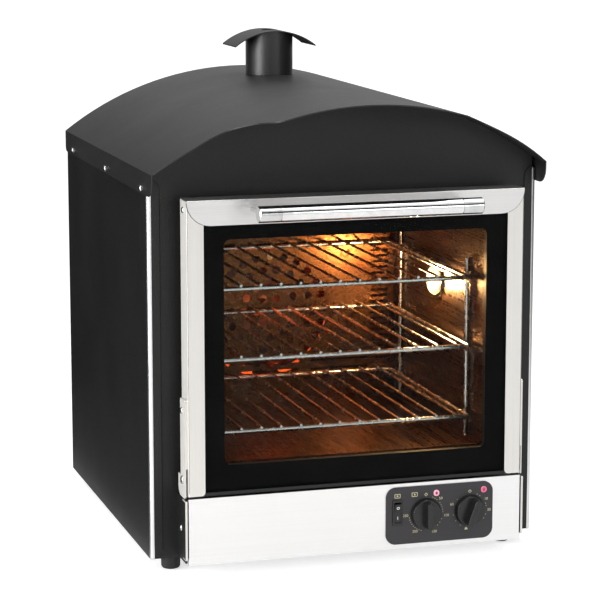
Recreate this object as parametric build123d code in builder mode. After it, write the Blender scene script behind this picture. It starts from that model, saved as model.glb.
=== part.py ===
from build123d import *
import os
from math import atan2, cos, degrees, radians, sin, sqrt

os.makedirs("parts", exist_ok=True)

# Counter-top oven with a drop-down glass door, a lower control panel and an arched roof.
# Millimetres. X runs to the right, Y to the back, Z up. The origin is on the counter, under
# the middle of the whole outline, from the tips of the visor to the cable gland.

# ---------------------------------------------------------------- driving sizes
# Casing
steel = 1.2                    # casing and panel sheet
side_gap = 37.0                # insulation to the outside of the side casing
shoulder_gap = 13.0            # insulation to the upper edge of the side casing
motor_gap = 28.5               # fan motor to the outside of the back panel
return_width = 15.0            # folded returns of the side casings
return_top_drop = 8.0          # the front return stops this far below the side's upper edge
return_corner = 12.0
front_fold = 5.0               # outer radius of the side casings' front bend
tray_corner = 4.0
bend = 1.0                     # outer radius of a folded edge
foot_height = 19.0
foot_diameter = 24.0
foot_inset_x = 31.0
foot_inset_y = 25.0
foot_round = 4.0
tray_rim = 18.0
play = 0.3                     # gap between curved or moving pieces that lie on each other
slip = 0.2                     # gap all round a panel that drops in between two others
wire_hole_diameter = 26.0
wire_hole_lift = 45.0          # above the underside of the casing

# Roof and visor
roof_sheet = 1.5
roof_rise = 85.0               # roof bend to the top of the arch
roof_bend_lift = 2.0           # roof bend above the side casing's upper edge
flange_height = 28.0
flange_front_round = 20.0
flange_rear_round = 8.0
rear_overhang = 5.0            # roof behind the back panel
visor_side = 31.0              # overhang at the two flanges
visor_wing = 44.0              # overhang of the two wings beside them
visor_middle = 85.0            # overhang on the centre line
visor_reach = 118.0            # overhang of the two horns
visor_neck = 81.0              # overhang half way from wing to horn
wing_round = 50.0              # width over which a wing runs back to its flange
wing_end = 165.0               # half width at which the wing starts to sweep forward
neck_x = 131.0                 # half width half way from wing to horn
horn_x = 106.0
# Steps along the visor's edge, inward and then along the depth
sweep_step = (23.0, 20.0)      # from the wing's end, forward
flank_step = (13.0, 9.0)       # outward from the horn's tip, back
tip_step = (14.0, 5.0)         # from the horn's tip, back
slope_step = (34.0, 18.0)      # from the horn's tip, back
arch_drop = 27.0               # horn's tip to the edge at a third of the horn's half width

# Chimney
chimney_inset = 143.0          # from the back of the casing
chimney_diameter = 63.5
chimney_wall = 1.5
cap_lift = 59.0                # top of the arch to the top of the cap
cap_width = 111.0
cap_depth = 68.0
cap_radius = 89.0
cap_sheet = 1.2
cap_hole = 22.0
flue_diameter = 40.0
flue_wall = 1.0
flue_rise = 15.0               # upper end of the flue above the top of the arch

# Oven
oven_lift = 109.0              # underside of the casing to the floor of the oven
cavity_width = 364.0
cavity_height = 324.0
chamber_depth = 49.5           # baffle to the rear wall of the oven
cavity_round = 8.0
liner_sheet = 1.0
insulation = 30.0
rear_insulation = 20.0
mouth_standoff = 11.0          # face of the mouth frame in front of the casing
mouth_side_lip = 3.0           # edge of the mouth inside the oven's walls
mouth_lower_lip = 11.0
mouth_upper_lip = 14.0
mouth_round = 10.0
mouth_border = 24.0
mouth_sheet = 1.5

# Door
door_standoff = 52.0           # front face in front of the casing
door_thickness = 31.0
door_side_overlap = 35.0       # door beyond the mouth
door_lower_overlap = 30.8
door_upper_overlap = 30.7
door_sheet = 1.2
stile_width = 20.7
stile_corner = 5.0
rail_height = 30.7
rail_lower_edge = 0.7          # short upright edge below the rail's round corners
bottom_lip = 4.0
glass_outer = 4.0
glass_inner = 3.2
window_side_margin = 46.5      # clear window inside the door's edges
window_lower_margin = 35.3
window_upper_margin = 48.7
window_border = 5.0            # inner door frame, hidden behind the black border of the glass
seal_width = 8.0
seal_clear = 0.3               # seal to mouth frame, door shut
seal_side_overlap = 11.0       # seal beyond the mouth
seal_end_overlap = 10.0
seal_outer_round = 12.0
seal_inner_round = 4.0
seal_edge_round = 2.8

# Door hinge
pivot_back = 15.0              # behind the door's front face
pivot_lift = 18.8              # above the door's lower edge
pin_radius = 3.0
pin_head_radius = 5.0
pin_head_round = 1.68
running_fit = 0.05             # radial, pins and shafts in their bores
cheek_thickness = 1.6
cheek_back = 50.0              # behind the door's front face
cheek_front = 11.0
cheek_drop = 26.0              # upper edge of the cheek below the pivot
cheek_screw_back = 30.0        # behind the door's front face
cheek_screw_lift = 40.7        # above the lower edge of the cheek
hinge_lug_radius = 7.0
lug_swing_gap = 8.0
strap_thickness = 3.6
ear_thickness = 1.4
strap_front = 4.0
strap_width = 22.0
strap_rise = 100.0             # pivot to the upper end of the strap
ear_back = 38.0
ear_rise = 4.0                 # pivot to the upper edge of the ear
ear_drop = 22.3                # pivot to the lower edge of the ear
ear_corner = 12.0
strap_corner = 4.0
strap_screw_drop = 14.0        # below the strap's upper end
trim_width = 15.0
trim_sheet = 2.4
trim_round = 1.0
trim_lift = 6.5                # above the panel's lower edge
trim_drop = 24.0               # upper end below the pivot

# Handle
handle_standoff = 50.0         # bar axis in front of the door's front face
handle_drop = 12.4             # bar axis below the door's upper edge
handle_length = 280.0
handle_diameter = 20.0
handle_end_length = 27.0
groove_width = 1.0
groove_depth = 0.8
post_diameter = 8.0
post_inset = 7.5               # post's axis from the end of the handle

# Control panel
panel_overhang = 0.3           # panel beyond the door on each side
panel_lift = 3.3               # above the underside of the casing
panel_gap = 3.0                # panel's front edge below the door
panel_ledge_drop = 6.2         # the ledge lies below the panel's front edge
plate_width = 141.1
plate_height = 73.0
plate_inset = 36.7             # from the right end of the panel
plate_lift = 5.7               # above the panel's lower edge
plate_round = 13.0
plate_sheet = 1.2
knob_diameter = 40.0
knob_skirt = 7.0
knob_draft = 1.5
knob_edge_round = 1.2
grip_edge_round = 1.0
grip_taper = 3.0               # degrees
grip_width = 9.0
grip_depth = 13.0
thermostat_in = 52.5           # from the left edge of the plate
timer_in = 110.5
knob_lift = 37.0               # above the plate's lower edge
timer_turn = 20.0              # the timer's pointer stands this far clockwise of upright
shaft_diameter = 6.0
nose_diameter = 10.0
control_body = 40.0
control_body_round = 4.0
control_body_depth = 34.0
shaft_in_body = 16.0
shaft_in_knob = 12.0
neon_diameter = 8.0
neon_depth = 22.0
neon_proud = 1.0
neon_round = 0.8
thermostat_neon_in = 66.1
timer_neon_in = 128.9
neon_lift = 62.4
bezel_width = 13.3
bezel_height = 32.4
bezel_lip = 1.5
bezel_border = 1.0             # bezel beyond the switch's body
rocker_in = 15.15
rocker_lift = 40.9
rocker_width = 8.2
rocker_length = 25.6
rocker_tilt = 8.0              # the lower half is pressed in
rocker_well = 9.0
rocker_pin = 1.2
rocker_pin_depth = 1.0         # behind the plate's front
rocker_end_gap = 0.4           # rocker's ends inside its length
rocker_sink = 0.3              # ridge of the rocker below the bezel's face
rocker_back = 3.2              # behind the pin
rocker_high = 1.6              # raised end above the bezel's face, in rises of the tilt
rocker_low = 0.2               # pressed end below the ridge, in rises of the tilt
rocker_high_end = 0.93         # places along the half length, from the ridge
rocker_low_end = 0.72
rocker_heel = 0.4
rocker_wall = 1.3              # bezel's edge to the end of the pin's bore
switch_depth = 24.0

# Shelves. Their heights are above the floor of the oven.
shelf_lifts = {"top": 219.0, "middle": 130.0, "bottom": 39.0}
shelf_side_gap = 7.0           # shelf to the wall of the oven
shelf_front = 23.0             # front rail behind the casing front
shelf_depth = 314.0
shelf_rear_gap = 1.8           # shelf to the baffle
rail_wire = 6.0
cross_wire = 3.6
cross_sink = 1.0               # a cross wire is welded this far into the rails
cross_pitch = 25.6
runner_wire = 6.0
runner_in = 7.8                # runner's centre from the cavity wall
upright_front = 50.0
upright_inset = 27.0           # rear upright in front of the shelf's rear rail
upright_rise = 20.0            # upright above the top shelf

# Fan, heating ring and baffle
baffle_sheet = 1.2
baffle_flange_height = 240.0
fan_lift = 129.0               # fan axis above the floor of the oven
fan_diameter = 150.0
fan_front_gap = 8.0
fan_depth = 30.0
fan_blades = 12
fan_blade_radius = 55.5
fan_blade_chord = 33.0
fan_blade_turn = 28.0
fan_hub = 24.0
fan_hub_setback = 4.0
fan_nut_radius = 7.0
fan_nut_length = 3.5
fan_shaft_diameter = 8.0
fan_shaft_gap = 1.0
fan_disc = 1.5
element_radius = 92.0
element_rod = 8.0
element_bead = 0.2             # the weld bead at each tail stands this far proud of the rod
element_setback = 22.0         # behind the baffle
element_tail = 12.0            # tail beyond the rear insulation
element_gap = 30.0             # degrees left open between the two tails
guard_hole = 11.0
guard_pitch = 19.0
guard_count = 6                # holes in the inner ring; each ring outside it has as many more
louvre_pitch = 8.0
louvre_slot = 3.2
louvre_length = 26.0
louvre_inset = 24.0            # from the side walls
louvre_drop = 15.0             # below the middle of the oven
louvre_count = 24
floor_slot_pitch = 100.0
floor_slot_length = 84.0
floor_slot_lifts = [44.0, 56.0]
motor_width = 74.0
motor_height = 55.5
motor_round = 6.0
motor_depth = 42.0
motor_plate = 2.0
motor_plate_width = 118.0
motor_plate_height = 90.0
motor_plate_round = 8.0
standoff_diameter = 8.0
standoff_spread = 102.0
standoff_pitch = 74.0

# Cradle under the oven
cradle_half = 150.0
cradle_length = 240.0
cradle_toe = 20.0

# Lamp on the right wall
lamp_back = 172.0              # behind the casing front
lamp_runner_gap = 0.3          # lamp glass to the top runner
lamp_bezel_diameter = 54.0
lamp_bezel_depth = 4.0
lamp_bezel_chamfer = 1.5
lamp_glass_diameter = 38.0
lamp_glass_depth = 10.0
lamp_glass_round = 7.0
lamp_glass_wall = 3.0
lamp_glass_hollow = 6.0
lamp_hole = 34.0
lamp_cup_diameter = 40.0
lamp_cup_depth = 40.0
lamp_cup_wall = 1.0
lamp_cup_gap = 1.0
bulb_diameter = 22.0
bulb_neck_diameter = 13.2
bulb_neck_length = 14.0
bulb_neck_sink = 2.2           # the neck runs this far into the bulb
phial_back = 170.0             # rear end of the sensing bulb, behind the casing front
phial_length = 90.0
phial_diameter = 6.0
phial_drop = 30.0              # below the roof of the oven
phial_stand = 7.0
phial_clip = 8.0

# Back of the casing and what is behind the oven
gland_reach = 14.0
gland_diameter = 22.0
gland_nut = 6.3
gland_dome_diameter = 17.0
gland_dome_round = 2.5
gland_thread_diameter = 14.0
gland_thread_length = 12.0
gland_bore = 7.5
gland_x = -185.0
gland_lift = 41.0
terminal_length = 60.0
terminal_width = 22.0
terminal_height = 20.0
terminal_inset = 60.0          # from the back of the casing
terminal_pitch_x = 18.0
terminal_pitch_y = 12.0
terminal_hole = 5.0
terminal_hole_depth = 8.0
cutout_x = -130.0
cutout_drop = 45.0             # below the roof of the oven
cutout_width = 40.0
cutout_height = 32.0
cutout_depth = 20.0
cutout_round = 4.0
vent_slot_length = 46.0
vent_slot_height = 4.0
vent_pitch_x = 62.0
vent_pitch_z = 12.0
vent_rows = 9
screw_head = 8.0
screw_head_height = 2.4
screw_head_round = 1.92
screw_shank = 4.0
roof_screw_lift = 6.0          # above the flange's lower edge
roof_screw_insets = [47.0, 24.0]
roof_screw_middle = 14.0       # in front of the middle of the casing
panel_screw_low = 15.0
panel_screw_high = 20.0

# ---------------------------------------------------------------- derived places
# Heights, from the counter up
casing_floor = foot_height
cavity_floor = casing_floor + oven_lift
cavity_top = cavity_floor + cavity_height
cavity_middle = (cavity_floor + cavity_top) / 2
liner_floor = cavity_floor - liner_sheet
liner_top = cavity_top + liner_sheet
casing_top = liner_top + insulation + shoulder_gap
casing_height = casing_top - casing_floor
middle_height = (casing_floor + casing_top) / 2
roof_bend_height = casing_top + roof_bend_lift
roof_top = roof_bend_height + roof_rise
flange_floor = roof_bend_height - flange_height
cap_top = roof_top + cap_lift

# Depths. The oven's own depths add up to the depth of the casing.
baffle_back = shelf_front + shelf_depth + rail_wire / 2 + shelf_rear_gap + baffle_sheet
liner_back = baffle_back + chamber_depth + liner_sheet
casing_depth = liner_back + rear_insulation + motor_plate + motor_depth + motor_gap
front_y = (visor_reach - gland_reach - casing_depth) / 2
back_y = front_y + casing_depth
middle_y = (front_y + back_y) / 2
fascia_face = front_y + steel
fascia_rear = fascia_face + steel

# Widths
cavity_half = cavity_width / 2
liner_half = cavity_half + liner_sheet
casing_half = liner_half + insulation + side_gap
casing_width = 2 * casing_half
inner_half = casing_half - steel
fascia_half = casing_half - front_fold

roof_half = casing_half + roof_sheet
roof_radius = (roof_half**2 + roof_rise**2) / (2 * roof_rise)
roof_centre = roof_top - roof_radius

chimney_y = back_y - chimney_inset
chimney_radius = chimney_diameter / 2
cap_centre = cap_top - cap_radius
cap_under = cap_radius - cap_sheet

mouth_face = front_y - mouth_standoff
mouth_width = cavity_width - 2 * mouth_side_lip
mouth_half = mouth_width / 2
mouth_floor = cavity_floor + mouth_lower_lip
mouth_top = cavity_top - mouth_upper_lip
liner_front = mouth_face + mouth_sheet
liner_rear = front_y + liner_back
cavity_rear = liner_rear - liner_sheet
cavity_depth = cavity_rear - liner_front

door_face = front_y - door_standoff
door_rear = door_face + door_thickness
door_half = mouth_half + door_side_overlap
door_width = 2 * door_half
door_bottom = mouth_floor - door_lower_overlap
door_top = mouth_top + door_upper_overlap
glass_face = door_face + door_sheet
glass_back = glass_face + glass_outer
inner_glass_back = door_rear - door_sheet
inner_glass_face = inner_glass_back - glass_inner
stile_inner = door_half - stile_width
window_width = door_width - 2 * window_side_margin
window_floor = door_bottom + window_lower_margin
window_top = door_top - window_upper_margin
seal_half = mouth_half + seal_side_overlap
seal_floor = mouth_floor - seal_end_overlap
seal_top = mouth_top + seal_end_overlap

pivot_y = door_face + pivot_back
pivot_height = door_bottom + pivot_lift
strap_top = pivot_height + strap_rise
strap_screw_height = strap_top - strap_screw_drop
ear_top = pivot_height + ear_rise
ear_bottom = pivot_height - ear_drop
handle_y = door_face - handle_standoff
handle_height = door_top - handle_drop
post_spacing = handle_length - 2 * post_inset

panel_half = door_half + panel_overhang
panel_floor = casing_floor + panel_lift
panel_top = door_bottom - panel_gap
panel_ledge = panel_top - panel_ledge_drop
cheek_floor = panel_floor
cheek_top = pivot_height - cheek_drop
cheek_screw_z = cheek_floor + cheek_screw_lift
trim_floor = panel_floor + trim_lift
trim_top = pivot_height - trim_drop
plate_face = door_face - plate_sheet
plate_right = panel_half - plate_inset
plate_left = plate_right - plate_width
plate_floor = panel_floor + plate_lift
plate_top = plate_floor + plate_height
thermostat_x = plate_left + thermostat_in
timer_x = plate_left + timer_in
thermostat_neon_x = plate_left + thermostat_neon_in
timer_neon_x = plate_left + timer_neon_in
rocker_x = plate_left + rocker_in
knob_height = plate_floor + knob_lift
neon_height = plate_floor + neon_lift
rocker_z = plate_floor + rocker_lift

baffle_y = front_y + baffle_back
fan_front = baffle_y + fan_front_gap
fan_height = cavity_floor + fan_lift

shelf_heights = {name: cavity_floor + lift for name, lift in shelf_lifts.items()}
shelf_width = cavity_width - 2 * shelf_side_gap
shelf_half = shelf_width / 2
rail_y = front_y + shelf_front
shelf_rear = rail_y + shelf_depth
runner_x = cavity_half - runner_in
side_rail_x = shelf_half - rail_wire / 2
runner_reach = rail_wire / 2 + play + runner_wire / 2
runner_drop = sqrt(runner_reach**2 - (runner_x - side_rail_x) ** 2)
top_runner_underside = shelf_heights["top"] - runner_drop - runner_wire / 2

lamp_y = front_y + lamp_back
lamp_height = top_runner_underside - lamp_runner_gap - lamp_glass_diameter / 2
phial_height = cavity_top - phial_drop
gland_height = casing_floor + gland_lift
gland_thread = gland_thread_diameter / 2
screw_hole = screw_shank / 2 + slip


def front_plane(y):
    """Plane at depth y that faces the front: its own x and y are the part's X and Z."""
    return Plane.XZ.offset(-y)


def back_plane(y):
    """Plane at depth y that faces the back: its own x runs to the part's left, its y is Z."""
    return Plane(origin=(0, y, 0), x_dir=(-1, 0, 0), z_dir=(0, 1, 0))


def side_plane(x):
    """Plane at x that faces the right: its own x and y are the part's Y and Z."""
    return Plane.YZ.offset(x)


def level(z):
    """Plane at height z."""
    return Plane.XY.offset(z)


def arched_panel(y, half_width, foot, arch_radius):
    """Sheet outline at depth y: a flat foot, two upright sides and the roof's arch on top."""
    side_top = roof_centre + sqrt(arch_radius**2 - half_width**2)
    with BuildSketch(front_plane(y)) as outline:
        with BuildLine():
            Polyline(
                (-half_width, side_top),
                (-half_width, foot),
                (half_width, foot),
                (half_width, side_top),
            )
            ThreePointArc(
                (half_width, side_top),
                (0, roof_centre + arch_radius),
                (-half_width, side_top),
            )
        make_face()
    return outline.sketch


def dome_screws(plane, places, shank_length):
    """Screws with a domed head, standing on the plane, their shanks behind it."""
    with BuildPart() as screws:
        with BuildSketch(plane):
            with Locations(*places):
                Circle(screw_head / 2)
        extrude(amount=screw_head_height)
        rims = screws.edges().filter_by(GeomType.CIRCLE).sort_by(Axis(plane.origin, plane.z_dir))
        fillet(rims[-len(places):], screw_head_round)
        with BuildSketch(plane):
            with Locations(*places):
                Circle(screw_shank / 2)
        extrude(amount=-shank_length)
    return screws.part


# ---------------------------------------------------------------- base tray and feet
foot_spacing_x = casing_width - 2 * foot_inset_x
foot_spacing_y = casing_depth - 2 * foot_inset_y
tray_back = back_y - 2 * steel
tray_length = tray_back - fascia_rear
tray_middle = (tray_back + fascia_rear) / 2

with BuildPart() as base_tray:
    with BuildSketch(level(casing_floor)) as tray_outside:
        with Locations((0, tray_middle)):
            Rectangle(2 * inner_half, tray_length)
        fillet(tray_outside.vertices().group_by(Axis.Y)[0], tray_corner)
    extrude(amount=tray_rim)
    with BuildSketch(level(casing_floor + steel)) as tray_inside:
        with Locations((0, tray_middle)):
            Rectangle(2 * (inner_half - steel), tray_length - 2 * steel)
        fillet(tray_inside.vertices().group_by(Axis.Y)[0], tray_corner - steel)
    extrude(amount=tray_rim, mode=Mode.SUBTRACT)
    with BuildSketch(level(casing_floor)):
        with Locations((0, middle_y)):
            with GridLocations(vent_pitch_x, vent_pitch_x, 4, 2):
                SlotOverall(vent_slot_length, vent_slot_height)
    extrude(amount=steel, mode=Mode.SUBTRACT)
    with BuildSketch(level(casing_floor)):
        with Locations((0, middle_y)):
            with GridLocations(foot_spacing_x, foot_spacing_y, 2, 2):
                Circle(screw_hole)
    extrude(amount=steel, mode=Mode.SUBTRACT)
base_tray.part.label = "base_tray"
export_step(base_tray.part, "parts/base_tray.step")

# Four rubber feet. A screw through the tray holds each one.
with BuildPart() as feet:
    with BuildSketch(level(0)):
        with Locations((0, middle_y)):
            with GridLocations(foot_spacing_x, foot_spacing_y, 2, 2):
                Circle(foot_diameter / 2)
    extrude(amount=foot_height)
    fillet(feet.edges().group_by(Axis.Z)[0], foot_round)
feet.part.label = "feet"
export_step(feet.part, "parts/feet.step")

# ---------------------------------------------------------------- side casings
roof_screw_height = flange_floor + roof_screw_lift
roof_screw_places = [
    (back_y - roof_screw_insets[0], roof_screw_height),
    (middle_y - roof_screw_middle, roof_screw_height),
    (front_y + roof_screw_insets[1], roof_screw_height),
]

panel_screw_x = casing_half - return_width / 2
panel_screw_heights = [casing_floor + panel_screw_low, middle_height, casing_top - panel_screw_high]

fold_y = front_y + front_fold
return_edge = casing_half - return_width
return_top = casing_top - return_top_drop

with BuildPart() as side_casing_right:
    with BuildSketch(level(casing_floor)):
        with Locations((casing_half, back_y)):
            Rectangle(steel, back_y - fold_y, align=(Align.MAX, Align.MAX))
        with Locations((casing_half, back_y - 2 * steel)):
            Rectangle(return_width, steel, align=(Align.MAX, Align.MIN))
    extrude(amount=casing_height)
    with BuildSketch(level(casing_floor)):
        with BuildLine():
            RadiusArc((casing_half, fold_y), (fascia_half, front_y), front_fold)
            Polyline(
                (fascia_half, front_y),
                (return_edge, front_y),
                (return_edge, fascia_face),
                (fascia_half, fascia_face),
            )
            RadiusArc((fascia_half, fascia_face), (inner_half, fold_y), steel - front_fold)
            Line((inner_half, fold_y), (casing_half, fold_y))
        make_face()
    extrude(amount=return_top - casing_floor)
    with BuildSketch(front_plane(fold_y)):
        for height, side in ((return_top, Align.MAX), (casing_floor, Align.MIN)):
            with Locations((return_edge, height)):
                Rectangle(return_corner, return_corner, align=(Align.MIN, side))
        for height in (return_top - return_corner, casing_floor + return_corner):
            with Locations((return_edge + return_corner, height)):
                Circle(return_corner, mode=Mode.SUBTRACT)
    extrude(amount=front_fold, mode=Mode.SUBTRACT)
    with BuildSketch(level(casing_top - steel)):
        with Locations((casing_half - steel, back_y - 2 * steel)):
            Rectangle(return_width, back_y - 2 * steel - fold_y, align=(Align.MAX, Align.MAX))
    extrude(amount=steel)
    with BuildSketch(side_plane(casing_half)):
        with Locations(*roof_screw_places):
            Circle(screw_hole)
    extrude(amount=-steel, mode=Mode.SUBTRACT)
    with BuildSketch(front_plane(back_y - steel)):
        with Locations(*[(panel_screw_x, height) for height in panel_screw_heights]):
            Circle(screw_hole)
    extrude(amount=steel, mode=Mode.SUBTRACT)
side_casing_right.part.label = "side_casing_right"
export_step(side_casing_right.part, "parts/side_casing_right.step")

with BuildPart() as side_casing_left:
    mirror(side_casing_right.part, about=Plane.YZ)
side_casing_left.part.label = "side_casing_left"
export_step(side_casing_left.part, "parts/side_casing_left.step")

# ---------------------------------------------------------------- fascia and back panel
arch_under = roof_radius - roof_sheet - play

with BuildPart() as front_fascia:
    extrude(arched_panel(fascia_rear, fascia_half, casing_floor, arch_under), amount=steel)
    with BuildSketch(front_plane(fascia_rear)):
        with Locations((0, cavity_middle)):
            RectangleRounded(
                2 * (liner_half + slip),
                liner_top - liner_floor + 2 * slip,
                cavity_round + liner_sheet + slip,
            )
        with Locations((timer_x, casing_floor + wire_hole_lift)):
            Circle(wire_hole_diameter / 2)
    extrude(amount=steel, mode=Mode.SUBTRACT)
front_fascia.part.label = "front_fascia"
export_step(front_fascia.part, "parts/front_fascia.step")

panel_screw_places = [
    (side * panel_screw_x, height) for side in (-1, 1) for height in panel_screw_heights
]

with BuildPart() as back_panel:
    extrude(arched_panel(back_y, inner_half - slip, casing_floor, arch_under), amount=steel)
    with BuildSketch(front_plane(back_y)):
        with Locations((0, fan_height)):
            with GridLocations(vent_pitch_x, vent_pitch_z, 3, vent_rows):
                SlotOverall(vent_slot_length, vent_slot_height)
        with Locations((gland_x, gland_height)):
            Circle(gland_thread + slip)
        with Locations(*panel_screw_places):
            Circle(screw_hole)
    extrude(amount=steel, mode=Mode.SUBTRACT)
back_panel.part.label = "back_panel"
export_step(back_panel.part, "parts/back_panel.step")

# ---------------------------------------------------------------- roof cover with its visor
roof_back = back_y + rear_overhang
flange_inside = casing_half - roof_sheet
flange_y = front_y - visor_side
wing_y = front_y - visor_wing
neck_y = front_y - visor_neck
horn_y = front_y - visor_reach
dip_y = front_y - visor_middle

with BuildPart() as roof_cover:
    inner_roof = roof_radius - roof_sheet
    inner_bend = roof_centre + sqrt(inner_roof**2 - casing_half**2)
    with BuildSketch(front_plane(roof_back)):
        with BuildLine():
            ThreePointArc((-roof_half, roof_bend_height), (0, roof_top), (roof_half, roof_bend_height))
            Polyline(
                (roof_half, roof_bend_height),
                (roof_half, flange_floor),
                (casing_half, flange_floor),
                (casing_half, inner_bend),
            )
            ThreePointArc(
                (casing_half, inner_bend),
                (0, roof_top - roof_sheet),
                (-casing_half, inner_bend),
            )
            Polyline(
                (-casing_half, inner_bend),
                (-casing_half, flange_floor),
                (-roof_half, flange_floor),
                (-roof_half, roof_bend_height),
            )
        make_face()
    extrude(amount=roof_back - horn_y)
    with BuildSketch(level(0)) as visor_outline:
        with BuildLine():
            Polyline(
                (0, dip_y),
                (0, roof_back),
                (roof_half, roof_back),
                (roof_half, flange_y),
                (flange_inside, flange_y),
            )
            Spline(
                (flange_inside, flange_y),
                (flange_inside - wing_round / 2, (flange_y + 3 * wing_y) / 4),
                (flange_inside - wing_round, wing_y),
                (wing_end, wing_y),
                (wing_end - sweep_step[0], wing_y - sweep_step[1]),
                (neck_x, neck_y),
                (horn_x + flank_step[0], horn_y + flank_step[1]),
                (horn_x, horn_y),
                (horn_x - tip_step[0], horn_y + tip_step[1]),
                (horn_x - slope_step[0], horn_y + slope_step[1]),
                (horn_x / 3, horn_y + arch_drop),
                (0, dip_y),
                tangents=[(-2, -1), (-1, 0)],
            )
        make_face()
        mirror(about=Plane.YZ)
    extrude(amount=roof_top + 1, mode=Mode.INTERSECT)
    flange_ends = roof_cover.edges().filter_by(Axis.X).group_by(Axis.Z)[0].group_by(Axis.Y)
    fillet(flange_ends[0], flange_front_round)
    rear_ends = roof_cover.edges().filter_by(Axis.X).group_by(Axis.Z)[0].group_by(Axis.Y)
    fillet(rear_ends[-1], flange_rear_round)
    with BuildSketch(side_plane(-roof_half)):
        with Locations(*roof_screw_places):
            Circle(screw_hole)
    extrude(amount=2 * roof_half, mode=Mode.SUBTRACT)
    with BuildSketch(level(roof_bend_height)):
        with Locations((0, chimney_y)):
            Circle(chimney_radius - 2 * chimney_wall)
    extrude(amount=roof_rise + 1, mode=Mode.SUBTRACT)
roof_cover.part.label = "roof_cover"
export_step(roof_cover.part, "parts/roof_cover.step")

# ---------------------------------------------------------------- chimney, cap and flue
with BuildPart() as chimney_tube:
    with BuildSketch(level(roof_bend_height)):
        with Locations((0, chimney_y)):
            Circle(chimney_radius)
            Circle(chimney_radius - chimney_wall, mode=Mode.SUBTRACT)
    extrude(amount=cap_top - roof_bend_height)
    with BuildSketch(front_plane(chimney_y + chimney_diameter)):
        with Locations((0, cap_centre)):
            Rectangle(2 * cap_radius, cap_radius, align=(Align.CENTER, Align.MIN))
            Circle(cap_under - slip, mode=Mode.SUBTRACT)
        with Locations((0, roof_centre)):
            Circle(roof_radius + slip)
    extrude(amount=2 * chimney_diameter, mode=Mode.SUBTRACT)
chimney_tube.part.label = "chimney_tube"
export_step(chimney_tube.part, "parts/chimney_tube.step")

with BuildPart() as chimney_cap:
    cap_half = cap_width / 2
    cap_edge = cap_centre + sqrt(cap_radius**2 - cap_half**2)
    under_edge = cap_centre + sqrt(cap_under**2 - cap_half**2)
    with BuildSketch(front_plane(chimney_y + cap_depth / 2)):
        with BuildLine():
            ThreePointArc((-cap_half, cap_edge), (0, cap_top), (cap_half, cap_edge))
            Line((cap_half, cap_edge), (cap_half, under_edge))
            ThreePointArc((cap_half, under_edge), (0, cap_top - cap_sheet), (-cap_half, under_edge))
            Line((-cap_half, under_edge), (-cap_half, cap_edge))
        make_face()
    extrude(amount=cap_depth)
    with BuildSketch(level(cap_edge)):
        with Locations((0, chimney_y)):
            Circle(cap_hole / 2)
    extrude(amount=cap_radius, mode=Mode.SUBTRACT)
chimney_cap.part.label = "chimney_cap"
export_step(chimney_cap.part, "parts/chimney_cap.step")

flue_top = roof_top + flue_rise

with BuildPart() as steam_flue:
    with BuildSketch(level(liner_top)):
        with Locations((0, chimney_y)):
            Circle(flue_diameter / 2)
            Circle(flue_diameter / 2 - flue_wall, mode=Mode.SUBTRACT)
    extrude(amount=flue_top - liner_top)
steam_flue.part.label = "steam_flue"
export_step(steam_flue.part, "parts/steam_flue.step")

# ---------------------------------------------------------------- oven liner
liner_height = liner_top - liner_floor
fan_shaft_hole = fan_shaft_diameter / 2 + fan_shaft_gap
tail_angle = radians(element_gap / 2)
tail_x = element_radius * sin(tail_angle)
tail_z = fan_height - element_radius * cos(tail_angle)
tail_places = [(-tail_x, tail_z), (tail_x, tail_z)]

with BuildPart() as oven_liner:
    with BuildSketch(front_plane(liner_rear)):
        with Locations((0, cavity_middle)):
            RectangleRounded(2 * liner_half, liner_height, cavity_round + liner_sheet)
    extrude(amount=liner_rear - liner_front)
    with BuildSketch(front_plane(cavity_rear)):
        with Locations((0, cavity_middle)):
            RectangleRounded(cavity_width, cavity_top - cavity_floor, cavity_round)
    extrude(amount=cavity_depth, mode=Mode.SUBTRACT)
    with BuildSketch(front_plane(liner_rear)):
        with Locations((0, fan_height)):
            Circle(fan_shaft_hole)
        with Locations(*tail_places):
            Circle(element_rod / 2 + slip)
    extrude(amount=liner_sheet, mode=Mode.SUBTRACT)
    with BuildSketch(side_plane(cavity_half)):
        with Locations((lamp_y, lamp_height)):
            Circle(lamp_hole / 2)
    extrude(amount=liner_sheet, mode=Mode.SUBTRACT)
    with BuildSketch(level(cavity_top)):
        with Locations((0, chimney_y)):
            Circle(flue_diameter / 2 - flue_wall)
    extrude(amount=liner_sheet, mode=Mode.SUBTRACT)
oven_liner.part.label = "oven_liner"
export_step(oven_liner.part, "parts/oven_liner.step")

# Frame that closes the joint between liner and fascia, and that the door seal meets.
with BuildPart() as mouth_frame:
    with BuildSketch(front_plane(fascia_face)):
        with Locations((0, (mouth_floor + mouth_top) / 2)):
            RectangleRounded(
                mouth_width + 2 * mouth_border,
                mouth_top - mouth_floor + 2 * mouth_border,
                mouth_round,
            )
    extrude(amount=fascia_face - mouth_face)
    with BuildSketch(front_plane(fascia_face)):
        with Locations((0, (mouth_floor + mouth_top) / 2)):
            RectangleRounded(
                mouth_width + 2 * (mouth_border - mouth_sheet),
                mouth_top - mouth_floor + 2 * (mouth_border - mouth_sheet),
                mouth_round - mouth_sheet,
            )
    extrude(amount=fascia_face - liner_front, mode=Mode.SUBTRACT)
    with BuildSketch(front_plane(liner_front)):
        with Locations((0, (mouth_floor + mouth_top) / 2)):
            RectangleRounded(mouth_width, mouth_top - mouth_floor, mouth_round)
    extrude(amount=mouth_sheet, mode=Mode.SUBTRACT)
mouth_frame.part.label = "mouth_frame"
export_step(mouth_frame.part, "parts/mouth_frame.step")

# ---------------------------------------------------------------- insulation and cradle
wrap_half = liner_half + insulation
wrap_floor = liner_floor - insulation

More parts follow.
